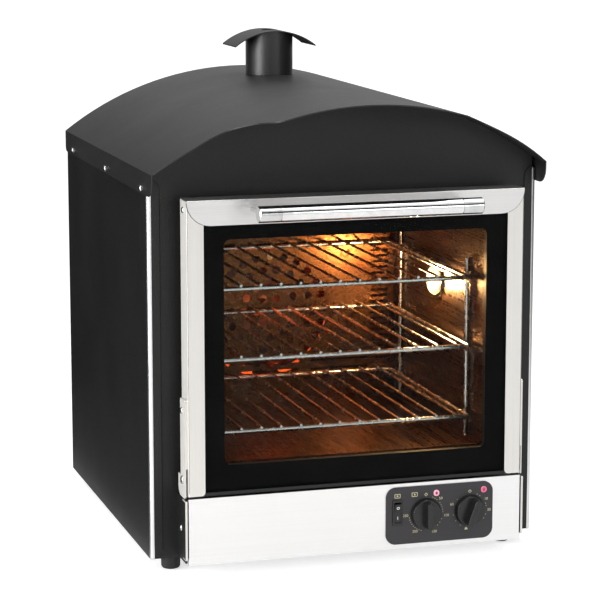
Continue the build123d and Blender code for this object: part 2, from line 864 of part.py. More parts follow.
with BuildPart() as insulation_wrap:
    with BuildSketch(front_plane(liner_rear)):
        with Locations((0, cavity_middle)):
            Rectangle(2 * wrap_half, liner_height + 2 * insulation)
            RectangleRounded(
                2 * (liner_half + slip),
                liner_height + 2 * slip,
                cavity_round + liner_sheet,
                mode=Mode.SUBTRACT,
            )
    extrude(amount=liner_rear - fascia_rear)
    with BuildSketch(side_plane(liner_half)):
        with Locations((lamp_y, lamp_height)):
            Circle(lamp_cup_diameter / 2 + lamp_cup_gap)
    extrude(amount=insulation, mode=Mode.SUBTRACT)
    with BuildSketch(level(liner_top)):
        with Locations((0, chimney_y)):
            Circle(flue_diameter / 2 + slip)
    extrude(amount=insulation, mode=Mode.SUBTRACT)
insulation_wrap.part.label = "insulation_wrap"
export_step(insulation_wrap.part, "parts/insulation_wrap.step")

standoff_places = [
    (side * standoff_spread / 2, fan_height + end * standoff_pitch / 2)
    for side in (-1, 1)
    for end in (-1, 1)
]

with BuildPart() as insulation_rear:
    with BuildSketch(front_plane(liner_rear + rear_insulation)):
        with Locations((0, cavity_middle)):
            Rectangle(2 * liner_half, liner_height)
        with Locations((0, fan_height)):
            Circle(fan_shaft_hole, mode=Mode.SUBTRACT)
        with Locations(*tail_places):
            Circle(element_rod / 2 + slip, mode=Mode.SUBTRACT)
        with Locations(*standoff_places):
            Circle(standoff_diameter / 2 + slip, mode=Mode.SUBTRACT)
    extrude(amount=rear_insulation)
insulation_rear.part.label = "insulation_rear"
export_step(insulation_rear.part, "parts/insulation_rear.step")

# Cradle of folded sheet that carries the insulated oven on the tray.
cradle_floor = casing_floor + steel

with BuildPart() as oven_cradle:
    with BuildSketch(front_plane(middle_y + cradle_length / 2)):
        with BuildLine():
            Polyline(
                (-cradle_half - cradle_toe, cradle_floor),
                (-cradle_half, cradle_floor),
                (-cradle_half, wrap_floor - steel),
                (cradle_half, wrap_floor - steel),
                (cradle_half, cradle_floor),
                (cradle_half + cradle_toe, cradle_floor),
                (cradle_half + cradle_toe, cradle_floor + steel),
                (cradle_half + steel, cradle_floor + steel),
                (cradle_half + steel, wrap_floor),
                (-cradle_half - steel, wrap_floor),
                (-cradle_half - steel, cradle_floor + steel),
                (-cradle_half - cradle_toe, cradle_floor + steel),
                close=True,
            )
        make_face()
    extrude(amount=cradle_length)
oven_cradle.part.label = "oven_cradle"
export_step(oven_cradle.part, "parts/oven_cradle.step")

# ---------------------------------------------------------------- fan, motor and heating ring
fan_rear = fan_front + fan_depth
motor_face = liner_rear + rear_insulation + motor_plate
motor_back = motor_face + motor_depth
shaft_back = motor_face + motor_depth / 2
hub_front = fan_front + fan_hub_setback

with BuildPart() as fan_impeller:
    with BuildSketch(front_plane(fan_rear)):
        with Locations((0, fan_height)):
            Circle(fan_diameter / 2)
            Circle(fan_shaft_diameter / 2, mode=Mode.SUBTRACT)
    extrude(amount=fan_disc)
    with BuildSketch(front_plane(fan_rear)):
        with Locations((0, fan_height)):
            Circle(fan_hub / 2)
            Circle(fan_shaft_diameter / 2, mode=Mode.SUBTRACT)
    extrude(amount=fan_rear - hub_front)
    with BuildSketch(front_plane(fan_rear - fan_disc)):
        with Locations((0, fan_height)):
            with PolarLocations(fan_blade_radius, fan_blades):
                Rectangle(fan_blade_chord, fan_disc, rotation=fan_blade_turn)
    extrude(amount=fan_depth - fan_disc)
fan_impeller.part.label = "fan_impeller"
export_step(fan_impeller.part, "parts/fan_impeller.step")

with BuildPart() as fan_shaft:
    with BuildSketch(front_plane(shaft_back)):
        with Locations((0, fan_height)):
            Circle(fan_shaft_diameter / 2)
    extrude(amount=shaft_back - hub_front)
fan_shaft.part.label = "fan_shaft"
export_step(fan_shaft.part, "parts/fan_shaft.step")

with BuildPart() as fan_nut:
    with BuildSketch(front_plane(hub_front)):
        with Locations((0, fan_height)):
            RegularPolygon(radius=fan_nut_radius, side_count=6)
    extrude(amount=fan_nut_length)
fan_nut.part.label = "fan_nut"
export_step(fan_nut.part, "parts/fan_nut.step")

with BuildPart() as fan_motor:
    with BuildSketch(front_plane(motor_face)):
        with Locations((0, fan_height)):
            RectangleRounded(motor_plate_width, motor_plate_height, motor_plate_round)
            Circle(fan_shaft_diameter / 2 + running_fit, mode=Mode.SUBTRACT)
    extrude(amount=motor_plate)
    with BuildSketch(front_plane(motor_face - motor_plate)):
        with Locations(*standoff_places):
            Circle(standoff_diameter / 2)
    extrude(amount=rear_insulation)
    with BuildSketch(front_plane(motor_back)):
        with Locations((0, fan_height)):
            RectangleRounded(motor_width, motor_height, motor_round)
    extrude(amount=motor_depth)
    with BuildSketch(front_plane(shaft_back)):
        with Locations((0, fan_height)):
            Circle(fan_shaft_diameter / 2 + running_fit)
    extrude(amount=motor_depth, mode=Mode.SUBTRACT)
fan_motor.part.label = "fan_motor"
export_step(fan_motor.part, "parts/fan_motor.step")

ring_y = baffle_y + element_setback
tail_length = liner_rear + rear_insulation + element_tail - ring_y
ring_start = Plane(
    origin=(0, ring_y, fan_height),
    x_dir=(sin(tail_angle), 0, -cos(tail_angle)),
    z_dir=(cos(tail_angle), 0, sin(tail_angle)),
)

with BuildPart() as heating_ring:
    with BuildSketch(ring_start):
        with Locations((element_radius, 0)):
            Circle(element_rod / 2)
    revolve(
        axis=Axis((0, ring_y, fan_height), (0, -1, 0)),
        revolution_arc=360 - element_gap,
    )
    with Locations((-tail_x, ring_y, tail_z), (tail_x, ring_y, tail_z)):
        Sphere(element_rod / 2 + element_bead)
    with BuildSketch(front_plane(ring_y)):
        with Locations(*tail_places):
            Circle(element_rod / 2)
    extrude(amount=-tail_length)
heating_ring.part.label = "heating_ring"
export_step(heating_ring.part, "parts/heating_ring.step")

baffle_half = cavity_half - slip
baffle_floor = cavity_floor + slip
baffle_top = cavity_top - slip
guard_rings = [(guard_pitch * ring, guard_count * ring) for ring in (1, 2, 3, 4)]
louvre_x = cavity_half - louvre_inset
louvre_middle = cavity_middle - louvre_drop
floor_slot_places = [(0, cavity_floor + lift) for lift in floor_slot_lifts]

with BuildPart() as fan_baffle:
    with BuildSketch(front_plane(baffle_y)) as baffle_face:
        with Locations((0, cavity_middle)):
            RectangleRounded(2 * baffle_half, baffle_top - baffle_floor, cavity_round)
        with Locations((0, fan_height)):
            for radius, count in guard_rings:
                with PolarLocations(radius, count):
                    Circle(guard_hole / 2, mode=Mode.SUBTRACT)
        with Locations((-louvre_x, louvre_middle), (louvre_x, louvre_middle)):
            with GridLocations(1, louvre_pitch, 1, louvre_count):
                SlotOverall(louvre_length, louvre_slot, mode=Mode.SUBTRACT)
        with Locations(*floor_slot_places):
            with GridLocations(floor_slot_pitch, 1, 3, 1):
                SlotOverall(floor_slot_length, louvre_slot, mode=Mode.SUBTRACT)
    extrude(amount=baffle_sheet)
    with BuildSketch(front_plane(baffle_y)):
        with Locations((-baffle_half, cavity_middle)):
            Rectangle(baffle_sheet, baffle_flange_height, align=(Align.MIN, Align.CENTER))
        with Locations((baffle_half, cavity_middle)):
            Rectangle(baffle_sheet, baffle_flange_height, align=(Align.MAX, Align.CENTER))
    extrude(amount=baffle_y - cavity_rear)
fan_baffle.part.label = "fan_baffle"
export_step(fan_baffle.part, "parts/fan_baffle.step")

# ---------------------------------------------------------------- oven lamp
with BuildPart() as lamp_cup:
    with BuildSketch(side_plane(liner_half)):
        with Locations((lamp_y, lamp_height)):
            Circle(lamp_cup_diameter / 2)
    extrude(amount=lamp_cup_depth)
    with BuildSketch(side_plane(liner_half)):
        with Locations((lamp_y, lamp_height)):
            Circle(lamp_cup_diameter / 2 - lamp_cup_wall)
    extrude(amount=lamp_cup_depth - lamp_cup_wall, mode=Mode.SUBTRACT)
lamp_cup.part.label = "lamp_cup"
export_step(lamp_cup.part, "parts/lamp_cup.step")

cup_end = liner_half + lamp_cup_depth - lamp_cup_wall
bulb_radius = bulb_diameter / 2
neck_radius = bulb_neck_diameter / 2
bulb_x = cup_end - bulb_neck_length - bulb_radius + bulb_neck_sink
bulb_neck_x = bulb_x + sqrt(bulb_radius**2 - neck_radius**2)

with BuildPart() as lamp_bulb:
    with BuildSketch(front_plane(lamp_y)):
        with BuildLine():
            ThreePointArc(
                (bulb_x - bulb_radius, lamp_height),
                (bulb_x, lamp_height + bulb_radius),
                (bulb_neck_x, lamp_height + neck_radius),
            )
            Polyline(
                (bulb_neck_x, lamp_height + neck_radius),
                (cup_end, lamp_height + neck_radius),
                (cup_end, lamp_height),
                (bulb_x - bulb_radius, lamp_height),
            )
        make_face()
    revolve(axis=Axis((0, lamp_y, lamp_height), (1, 0, 0)))
lamp_bulb.part.label = "lamp_bulb"
export_step(lamp_bulb.part, "parts/lamp_bulb.step")

with BuildPart() as lamp_bezel:
    with BuildSketch(side_plane(cavity_half)):
        with Locations((lamp_y, lamp_height)):
            Circle(lamp_bezel_diameter / 2)
            Circle(lamp_glass_diameter / 2 + slip, mode=Mode.SUBTRACT)
    extrude(amount=-lamp_bezel_depth)
    chamfer(lamp_bezel.edges().group_by(Axis.X)[0].sort_by(SortBy.LENGTH)[-1], lamp_bezel_chamfer)
lamp_bezel.part.label = "lamp_bezel"
export_step(lamp_bezel.part, "parts/lamp_bezel.step")

with BuildPart() as lamp_glass:
    with BuildSketch(side_plane(cavity_half)):
        with Locations((lamp_y, lamp_height)):
            Circle(lamp_glass_diameter / 2)
    extrude(amount=-lamp_glass_depth)
    fillet(lamp_glass.edges().group_by(Axis.X)[0], lamp_glass_round)
    with BuildSketch(side_plane(cavity_half)):
        with Locations((lamp_y, lamp_height)):
            Circle(lamp_glass_diameter / 2 - lamp_glass_wall)
    extrude(amount=-lamp_glass_hollow, mode=Mode.SUBTRACT)
lamp_glass.part.label = "lamp_glass"
export_step(lamp_glass.part, "parts/lamp_glass.step")

# ---------------------------------------------------------------- shelf racks and shelves
upright_x = cavity_half - play - runner_wire / 2
upright_floor = cavity_floor + cavity_round
upright_top = shelf_heights["top"] + upright_rise
upright_places = [(upright_x, front_y + upright_front), (upright_x, shelf_rear - upright_inset)]

with BuildPart() as shelf_racks:
    with BuildSketch(level(upright_floor)):
        with Locations(*upright_places):
            Circle(runner_wire / 2)
    extrude(amount=upright_top - upright_floor)
    with BuildSketch(front_plane(shelf_rear)):
        for height in shelf_heights.values():
            with Locations((runner_x, height - runner_drop)):
                Circle(runner_wire / 2)
    extrude(amount=shelf_depth)
    mirror(about=Plane.YZ)
shelf_racks.part.label = "shelf_racks"
export_step(shelf_racks.part, "parts/shelf_racks.step")

cross_count = 1 + 2 * int((shelf_half - rail_wire) / cross_pitch)

for shelf_name, shelf_z in shelf_heights.items():
    with BuildPart() as shelf:
        with BuildSketch(front_plane(shelf_rear)):
            with Locations((-side_rail_x, shelf_z), (side_rail_x, shelf_z)):
                Circle(rail_wire / 2)
        extrude(amount=shelf_depth)
        with BuildSketch(side_plane(-side_rail_x)):
            with Locations((rail_y, shelf_z), (shelf_rear, shelf_z)):
                Circle(rail_wire / 2)
        extrude(amount=shelf_width - rail_wire)
        with Locations(
            (-side_rail_x, rail_y, shelf_z),
            (side_rail_x, rail_y, shelf_z),
            (-side_rail_x, shelf_rear, shelf_z),
            (side_rail_x, shelf_rear, shelf_z),
        ):
            Sphere(rail_wire / 2)
        with BuildSketch(front_plane(shelf_rear + rail_wire / 2)):
            with Locations((0, shelf_z + rail_wire / 2 + cross_wire / 2 - cross_sink)):
                with GridLocations(cross_pitch, 1, cross_count, 1):
                    Circle(cross_wire / 2)
        extrude(amount=shelf_depth + rail_wire)
    shelf.part.label = f"shelf_{shelf_name}"
    export_step(shelf.part, f"parts/shelf_{shelf_name}.step")

# ---------------------------------------------------------------- door frame
door_height = door_top - door_bottom

with BuildPart() as door_stile_right:
    with BuildSketch(level(door_bottom)):
        with Locations((door_half, door_face)):
            Rectangle(stile_width, door_sheet, align=(Align.MAX, Align.MIN))
            Rectangle(door_sheet, door_thickness, align=(Align.MAX, Align.MIN))
        with Locations((door_half, door_rear)):
            Rectangle(stile_width, door_sheet, align=(Align.MAX, Align.MAX))
    extrude(amount=door_height - door_sheet)
    outer_corner = door_stile_right.edges().filter_by(Axis.Z).group_by(Axis.Y)[0].sort_by(Axis.X)
    fillet(outer_corner[-1], bend)
    foot_edges = door_stile_right.edges().filter_by(Axis.Y).group_by(Axis.Z)[0]
    fillet(foot_edges.group_by(Axis.Y)[0].sort_by(Axis.X)[0], stile_corner)
    with BuildSketch(side_plane(door_half)):
        with Locations((pivot_y, strap_screw_height), (pivot_y, handle_height)):
            Circle(screw_hole)
    extrude(amount=-door_sheet, mode=Mode.SUBTRACT)
door_stile_right.part.label = "door_stile_right"
export_step(door_stile_right.part, "parts/door_stile_right.step")

with BuildPart() as door_stile_left:
    mirror(door_stile_right.part, about=Plane.YZ)
door_stile_left.part.label = "door_stile_left"
export_step(door_stile_left.part, "parts/door_stile_left.step")

# The top rail is a cap over both stiles. Its front plate has two round lower corners.
rail_face = door_face - door_sheet
rail_floor = door_top - rail_height
post_half = post_spacing / 2

with BuildPart() as door_top_rail:
    with BuildSketch(front_plane(door_face)) as rail_plate:
        with Locations((0, door_top)):
            Rectangle(door_width, rail_height, align=(Align.CENTER, Align.MAX))
        fillet(rail_plate.vertices().group_by(Axis.Y)[0], rail_height - rail_lower_edge)
    extrude(amount=door_sheet)
    with BuildSketch(level(door_top)):
        with Locations((0, door_face)):
            Rectangle(door_width, door_thickness, align=(Align.CENTER, Align.MIN))
    extrude(amount=-door_sheet)
    with BuildSketch(front_plane(door_rear)):
        with Locations((0, door_top)):
            Rectangle(
                2 * (stile_inner - slip),
                door_top - seal_top - slip,
                align=(Align.CENTER, Align.MAX),
            )
    extrude(amount=door_sheet)
    top_edge = door_top_rail.edges().filter_by(Axis.X).group_by(Axis.Z)[-1].sort_by(Axis.Y)
    fillet(top_edge[0], bend)
    with BuildSketch(front_plane(door_face)):
        with Locations((-post_half, handle_height), (post_half, handle_height)):
            Circle(screw_hole)
    extrude(amount=door_sheet, mode=Mode.SUBTRACT)
door_top_rail.part.label = "door_top_rail"
export_step(door_top_rail.part, "parts/door_top_rail.step")

# The bottom rail is a channel that carries the lower edges of both panes.
with BuildPart() as door_bottom_rail:
    channel_half = door_half - door_sheet
    with BuildSketch(side_plane(-channel_half)):
        with Locations((door_face, door_bottom)):
            Rectangle(door_thickness, door_sheet, align=(Align.MIN, Align.MIN))
    extrude(amount=2 * channel_half)
    with BuildSketch(front_plane(glass_face)):
        with Locations((0, door_bottom)):
            Rectangle(
                2 * (stile_inner - slip),
                bottom_lip,
                align=(Align.CENTER, Align.MIN),
            )
    extrude(amount=door_sheet)
    with BuildSketch(front_plane(door_rear)):
        with Locations((0, door_bottom)):
            Rectangle(
                2 * (stile_inner - slip),
                seal_floor - door_bottom - slip,
                align=(Align.CENTER, Align.MIN),
            )
    extrude(amount=door_sheet)
    with BuildSketch(level(door_bottom)):
        with Locations((-door_half + stile_width / 2, door_face), (door_half - stile_width / 2, door_face)):
            Rectangle(stile_width + slip, door_sheet, align=(Align.CENTER, Align.MIN))
        with Locations((-door_half + stile_width / 2, door_rear), (door_half - stile_width / 2, door_rear)):
            Rectangle(stile_width + slip, door_sheet, align=(Align.CENTER, Align.MAX))
    extrude(amount=door_sheet, mode=Mode.SUBTRACT)
door_bottom_rail.part.label = "door_bottom_rail"
export_step(door_bottom_rail.part, "parts/door_bottom_rail.step")

# ---------------------------------------------------------------- door glass, inner frame, seal
pane_half = door_half - door_sheet - slip
pane_floor = door_bottom + door_sheet
pane_top = door_top - door_sheet

with BuildPart() as door_outer_glass:
    with BuildSketch(front_plane(glass_back)):
        with Locations((0, pane_floor)):
            Rectangle(2 * pane_half, pane_top - pane_floor, align=(Align.CENTER, Align.MIN))
    extrude(amount=glass_outer)
door_outer_glass.part.label = "door_outer_glass"
export_step(door_outer_glass.part, "parts/door_outer_glass.step")

with BuildPart() as door_inner_glass:
    with BuildSketch(front_plane(inner_glass_back)):
        with Locations((0, pane_floor)):
            Rectangle(2 * pane_half, pane_top - pane_floor, align=(Align.CENTER, Align.MIN))
    extrude(amount=glass_inner)
door_inner_glass.part.label = "door_inner_glass"
export_step(door_inner_glass.part, "parts/door_inner_glass.step")

# Spacer frame between the panes: a channel bent into a ring, open to the rear.
window_height = window_top - window_floor
window_middle = (window_top + window_floor) / 2
spacer_depth = inner_glass_face - glass_back
spacer_outer_height = pane_top - pane_floor

with BuildPart() as door_spacer:
    with BuildSketch(front_plane(inner_glass_face)):
        with Locations((0, pane_floor)):
            Rectangle(2 * pane_half, spacer_outer_height, align=(Align.CENTER, Align.MIN))
    extrude(amount=spacer_depth)
    with BuildSketch(front_plane(inner_glass_face)):
        with Locations((0, pane_floor + door_sheet)):
            Rectangle(
                2 * (pane_half - door_sheet),
                spacer_outer_height - 2 * door_sheet,
                align=(Align.CENTER, Align.MIN),
            )
        with Locations((0, window_middle)):
            RectangleRounded(
                window_width + 2 * (window_border + door_sheet),
                window_height + 2 * (window_border + door_sheet),
                window_border + door_sheet,
                mode=Mode.SUBTRACT,
            )
    extrude(amount=spacer_depth - door_sheet, mode=Mode.SUBTRACT)
    with BuildSketch(front_plane(inner_glass_face)):
        with Locations((0, window_middle)):
            RectangleRounded(
                window_width + 2 * window_border,
                window_height + 2 * window_border,
                window_border,
            )
    extrude(amount=spacer_depth, mode=Mode.SUBTRACT)
door_spacer.part.label = "door_spacer"
export_step(door_spacer.part, "parts/door_spacer.step")

seal_rear = mouth_face - seal_clear

with BuildPart() as door_seal:
    with BuildSketch(front_plane(seal_rear)):
        with Locations((0, (seal_floor + seal_top) / 2)):
            RectangleRounded(2 * seal_half, seal_top - seal_floor, seal_outer_round)
            RectangleRounded(
                2 * (seal_half - seal_width),
                seal_top - seal_floor - 2 * seal_width,
                seal_inner_round,
                mode=Mode.SUBTRACT,
            )
    extrude(amount=seal_rear - inner_glass_back)
    fillet(door_seal.edges().group_by(Axis.Y)[-1], seal_edge_round)
door_seal.part.label = "door_seal"
export_step(door_seal.part, "parts/door_seal.step")

# ---------------------------------------------------------------- door hinge
strap_y = door_face + strap_front
strap_inner = door_half
strap_outer = door_half + strap_thickness
ear_inner = strap_outer - ear_thickness
lug_clear = hinge_lug_radius + lug_swing_gap

with BuildPart() as hinge_straps:
    with BuildSketch(side_plane(strap_inner)) as strap_outline:
        with Locations((strap_y, ear_bottom)):
            Rectangle(strap_width, strap_top - ear_bottom, align=(Align.MIN, Align.MIN))
        fillet(strap_outline.vertices().group_by(Axis.Y)[-1], strap_corner)
    extrude(amount=strap_thickness)
    with BuildSketch(side_plane(strap_inner)) as ear_outline:
        with Locations((strap_y, ear_bottom)):
            Rectangle(ear_back - strap_front, ear_top - ear_bottom, align=(Align.MIN, Align.MIN))
    extrude(amount=strap_thickness)
    strap_foot = hinge_straps.edges().filter_by(Axis.X).group_by(Axis.Z)[0].sort_by(Axis.Y)
    fillet(strap_foot[0], strap_corner)
    ear_foot = hinge_straps.edges().filter_by(Axis.X).group_by(Axis.Z)[0].sort_by(Axis.Y)
    fillet(ear_foot[-1], ear_corner)
    with BuildSketch(side_plane(strap_inner)):
        with Locations((pivot_y, pivot_height + lug_clear)):
            Rectangle(2 * ear_back, lug_clear + ear_drop + ear_rise, align=(Align.CENTER, Align.MAX))
    extrude(amount=ear_inner - strap_inner, mode=Mode.SUBTRACT)
    with BuildSketch(side_plane(strap_inner)):
        with Locations((pivot_y, pivot_height)):
            Circle(pin_radius)
        with Locations((pivot_y, strap_screw_height)):
            Circle(screw_hole)
    extrude(amount=strap_thickness, mode=Mode.SUBTRACT)
    mirror(about=Plane.YZ)
hinge_straps.part.label = "hinge_straps"
export_step(hinge_straps.part, "parts/hinge_straps.step")

cheek_inner = panel_half
cheek_screw_y = door_face + cheek_screw_back
cheek_outer = panel_half + cheek_thickness
cheek_y = door_face + cheek_front

# The cheek closes the side of the control panel and rises inside the strap to the pivot.
with BuildPart() as hinge_cheeks:
    with BuildSketch(side_plane(cheek_inner)):
        with Locations((cheek_y, cheek_floor)):
            Rectangle(
                cheek_back - cheek_front,
                cheek_top - cheek_floor,
                align=(Align.MIN, Align.MIN),
            )
        with Locations((pivot_y + hinge_lug_radius, pivot_height)):
            Rectangle(
                pivot_back + hinge_lug_radius - cheek_front,
                pivot_height - cheek_top + hinge_lug_radius,
                align=(Align.MAX, Align.MAX),
            )
        with Locations((pivot_y, pivot_height)):
            Circle(hinge_lug_radius)
            Circle(pin_radius + running_fit, mode=Mode.SUBTRACT)
        with Locations((cheek_screw_y, cheek_screw_z)):
            Circle(screw_hole, mode=Mode.SUBTRACT)
    extrude(amount=cheek_thickness)
    mirror(about=Plane.YZ)
hinge_cheeks.part.label = "hinge_cheeks"
export_step(hinge_cheeks.part, "parts/hinge_cheeks.step")

with BuildPart() as hinge_pins:
    with BuildSketch(side_plane(door_half)):
        with Locations((pivot_y, pivot_height)):
            Circle(pin_radius)
    extrude(amount=strap_thickness)
    with BuildSketch(side_plane(strap_outer)):
        with Locations((pivot_y, pivot_height)):
            Circle(pin_head_radius)
    extrude(amount=screw_head_height)
    fillet(hinge_pins.edges().group_by(Axis.X)[-1], pin_head_round)
    mirror(about=Plane.YZ)
hinge_pins.part.label = "hinge_pins"
export_step(hinge_pins.part, "parts/hinge_pins.step")

with BuildPart() as cheek_trims:
    with BuildSketch(side_plane(cheek_outer)) as trim_face:
        with Locations((door_face, trim_floor)):
            Rectangle(trim_width, trim_top - trim_floor, align=(Align.MIN, Align.MIN))
        fillet(trim_face.vertices(), trim_round)
    extrude(amount=trim_sheet)
    mirror(about=Plane.YZ)
cheek_trims.part.label = "cheek_trims"
export_step(cheek_trims.part, "parts/cheek_trims.step")

with BuildPart() as door_screws:
    add(dome_screws(side_plane(strap_outer), [(pivot_y, strap_screw_height)], strap_thickness + door_sheet))
    add(dome_screws(side_plane(door_half), [(pivot_y, handle_height)], door_sheet))
    mirror(about=Plane.YZ)
door_screws.part.label = "door_screws"
export_step(door_screws.part, "parts/door_screws.step")

# All screws of the casing are alike: roof flanges, cheeks, back panel and feet.
foot_places = [
    (side * foot_spacing_x / 2, middle_y + end * foot_spacing_y / 2)
    for side in (-1, 1)
    for end in (-1, 1)
]

with BuildPart() as casing_screws:
    add(dome_screws(side_plane(roof_half), roof_screw_places, roof_sheet + steel))
    add(dome_screws(side_plane(cheek_outer), [(cheek_screw_y, cheek_screw_z)], cheek_thickness + steel))
    mirror(about=Plane.YZ)
    add(dome_screws(back_plane(back_y), panel_screw_places, 2 * steel))
    add(dome_screws(level(casing_floor + steel), foot_places, steel))
casing_screws.part.label = "casing_screws"
export_step(casing_screws.part, "parts/casing_screws.step")

# ---------------------------------------------------------------- door handle
handle_half = handle_length / 2
bar_half = handle_half - handle_end_length
handle_radius = handle_diameter / 2

with BuildPart() as handle_bar:
    with BuildSketch(side_plane(-bar_half)):
        with Locations((handle_y, handle_height)):
            Circle(handle_radius)
    extrude(amount=2 * bar_half)
handle_bar.part.label = "handle_bar"
export_step(handle_bar.part, "parts/handle_bar.step")

# Each bracket is one turned piece: the end of the bar with its groove, and the post behind it.
with BuildPart() as handle_brackets:
    with BuildSketch(side_plane(bar_half)):
        with Locations((handle_y, handle_height)):
            Circle(handle_radius - groove_depth)
    extrude(amount=groove_width)
    with BuildSketch(side_plane(bar_half + groove_width)):
        with Locations((handle_y, handle_height)):
            Circle(handle_radius)
    extrude(amount=handle_end_length - groove_width)
    chamfer(handle_brackets.edges().group_by(Axis.X)[-1], 1.0)
    with BuildSketch(front_plane(rail_face)):
        with Locations((post_half, handle_height)):
            Circle(post_diameter / 2)
    extrude(amount=rail_face - handle_y)
    with BuildSketch(front_plane(door_face)):
        with Locations((post_half, handle_height)):
            Circle(screw_shank / 2)
    extrude(amount=door_sheet)
    mirror(about=Plane.YZ)
handle_brackets.part.label = "handle_brackets"
export_step(handle_brackets.part, "parts/handle_brackets.step")

# ---------------------------------------------------------------- control panel
panel_rear = fascia_face
panel_skin_rear = door_face + steel
panel_depth = panel_rear - door_face
bezel_face = plate_face - bezel_lip
switch_width = bezel_width - 2 * bezel_border
switch_height = bezel_height - 2 * bezel_border
control_places = [(thermostat_x, knob_height), (timer_x, knob_height)]
neon_places = [(thermostat_neon_x, neon_height), (timer_neon_x, neon_height)]

with BuildPart() as control_panel:
    with BuildSketch(level(panel_floor)):
        with Locations((0, door_face)):
            Rectangle(2 * panel_half, panel_depth, align=(Align.CENTER, Align.MIN))
    extrude(amount=panel_ledge - panel_floor)
    with BuildSketch(level(panel_floor + steel)):
        with Locations((0, panel_skin_rear)):
            Rectangle(2 * (panel_half - steel), panel_depth, align=(Align.CENTER, Align.MIN))
    extrude(amount=panel_ledge - panel_floor - 2 * steel, mode=Mode.SUBTRACT)
    with BuildSketch(level(panel_ledge)):
        with Locations((0, door_face)):
            Rectangle(2 * panel_half, steel, align=(Align.CENTER, Align.MIN))
    extrude(amount=panel_top - panel_ledge)
    panel_edges = control_panel.edges().filter_by(Axis.Z).group_by(Axis.Y)[0]
    fillet(panel_edges, bend)
    with BuildSketch(front_plane(panel_skin_rear)):
        with Locations(*control_places):
            Circle(nose_diameter / 2 + slip)
        with Locations(*neon_places):
            Circle(neon_diameter / 2 + slip)
        with Locations((rocker_x, rocker_z)):
            Rectangle(switch_width + slip, switch_height + slip)
    extrude(amount=steel, mode=Mode.SUBTRACT)
    with BuildSketch(side_plane(-panel_half)):
        with Locations((cheek_screw_y, cheek_screw_z)):
            Circle(screw_hole)
    extrude(amount=2 * panel_half, mode=Mode.SUBTRACT)
control_panel.part.label = "control_panel"
export_step(control_panel.part, "parts/control_panel.step")

with BuildPart() as control_plate:
    with BuildSketch(front_plane(door_face)):
        with Locations(((plate_left + plate_right) / 2, (plate_floor + plate_top) / 2)):
            RectangleRounded(plate_right - plate_left, plate_top - plate_floor, plate_round)
        with Locations(*control_places):
            Circle(nose_diameter / 2 + slip, mode=Mode.SUBTRACT)
        with Locations(*neon_places):
            Circle(neon_diameter / 2 + slip, mode=Mode.SUBTRACT)
        with Locations((rocker_x, rocker_z)):
            Rectangle(switch_width + slip, switch_height + slip, mode=Mode.SUBTRACT)
    extrude(amount=plate_sheet)
control_plate.part.label = "control_plate"
export_step(control_plate.part, "parts/control_plate.step")


def control_unit(x):
    """Rotary control behind the panel: its case, and a threaded nose with a bore for the shaft."""
    with BuildPart() as unit:
        with BuildSketch(front_plane(panel_skin_rear + control_body_depth)):
            with Locations((x, knob_height)):
                RectangleRounded(control_body, control_body, control_body_round)
        extrude(amount=control_body_depth)
        with BuildSketch(front_plane(panel_skin_rear)):
            with Locations((x, knob_height)):
                Circle(nose_diameter / 2)
        extrude(amount=panel_skin_rear - plate_face)
        with BuildSketch(front_plane(panel_skin_rear + shaft_in_body)):
            with Locations((x, knob_height)):
                Circle(shaft_diameter / 2 + running_fit)
        extrude(amount=panel_skin_rear + shaft_in_body - plate_face, mode=Mode.SUBTRACT)
    return unit.part


def control_shaft(x):
    """Shaft of a rotary control, from inside its case to the end of the knob's bore."""
    with BuildPart() as shaft:
        with BuildSketch(front_plane(panel_skin_rear + shaft_in_body)):
            with Locations((x, knob_height)):
                Circle(shaft_diameter / 2)
        extrude(amount=panel_skin_rear + shaft_in_body - plate_face + play + shaft_in_knob)
    return shaft.part


def control_knob(x, turn):
    """Round knob with a bar grip. The grip's pointer stands turn degrees clockwise of upright."""
    knob_base = plate_face - play
    with BuildPart() as knob:
        with BuildSketch(front_plane(knob_base)):
            with Locations((x, knob_height)):
                Circle(knob_diameter / 2)
        extrude(amount=knob_skirt, taper=degrees(atan2(knob_draft, knob_skirt)))
        fillet(knob.edges().filter_by(GeomType.CIRCLE).group_by(Axis.Y)[0], knob_edge_round)
        with BuildSketch(front_plane(knob_base - knob_skirt)) as grip:
            with Locations((x, knob_height)):
                SlotOverall(knob_diameter - 2 * knob_draft - 1, grip_width, rotation=90 - turn)
        extrude(amount=grip_depth, taper=grip_taper)
        fillet(knob.edges().group_by(Axis.Y)[0], grip_edge_round)
        with BuildSketch(front_plane(knob_base)):
            with Locations((x, knob_height)):
                Circle(shaft_diameter / 2)
        extrude(amount=shaft_in_knob, mode=Mode.SUBTRACT)
    return knob.part


thermostat_body = control_unit(thermostat_x)
thermostat_body.label = "thermostat_body"
export_step(thermostat_body, "parts/thermostat_body.step")

timer_body = control_unit(timer_x)
timer_body.label = "timer_body"
export_step(timer_body, "parts/timer_body.step")

thermostat_shaft = control_shaft(thermostat_x)
thermostat_shaft.label = "thermostat_shaft"
export_step(thermostat_shaft, "parts/thermostat_shaft.step")

timer_shaft = control_shaft(timer_x)
timer_shaft.label = "timer_shaft"
export_step(timer_shaft, "parts/timer_shaft.step")

thermostat_knob = control_knob(thermostat_x, 0)
thermostat_knob.label = "thermostat_knob"
export_step(thermostat_knob, "parts/thermostat_knob.step")

timer_knob = control_knob(timer_x, timer_turn)
timer_knob.label = "timer_knob"
export_step(timer_knob, "parts/timer_knob.step")

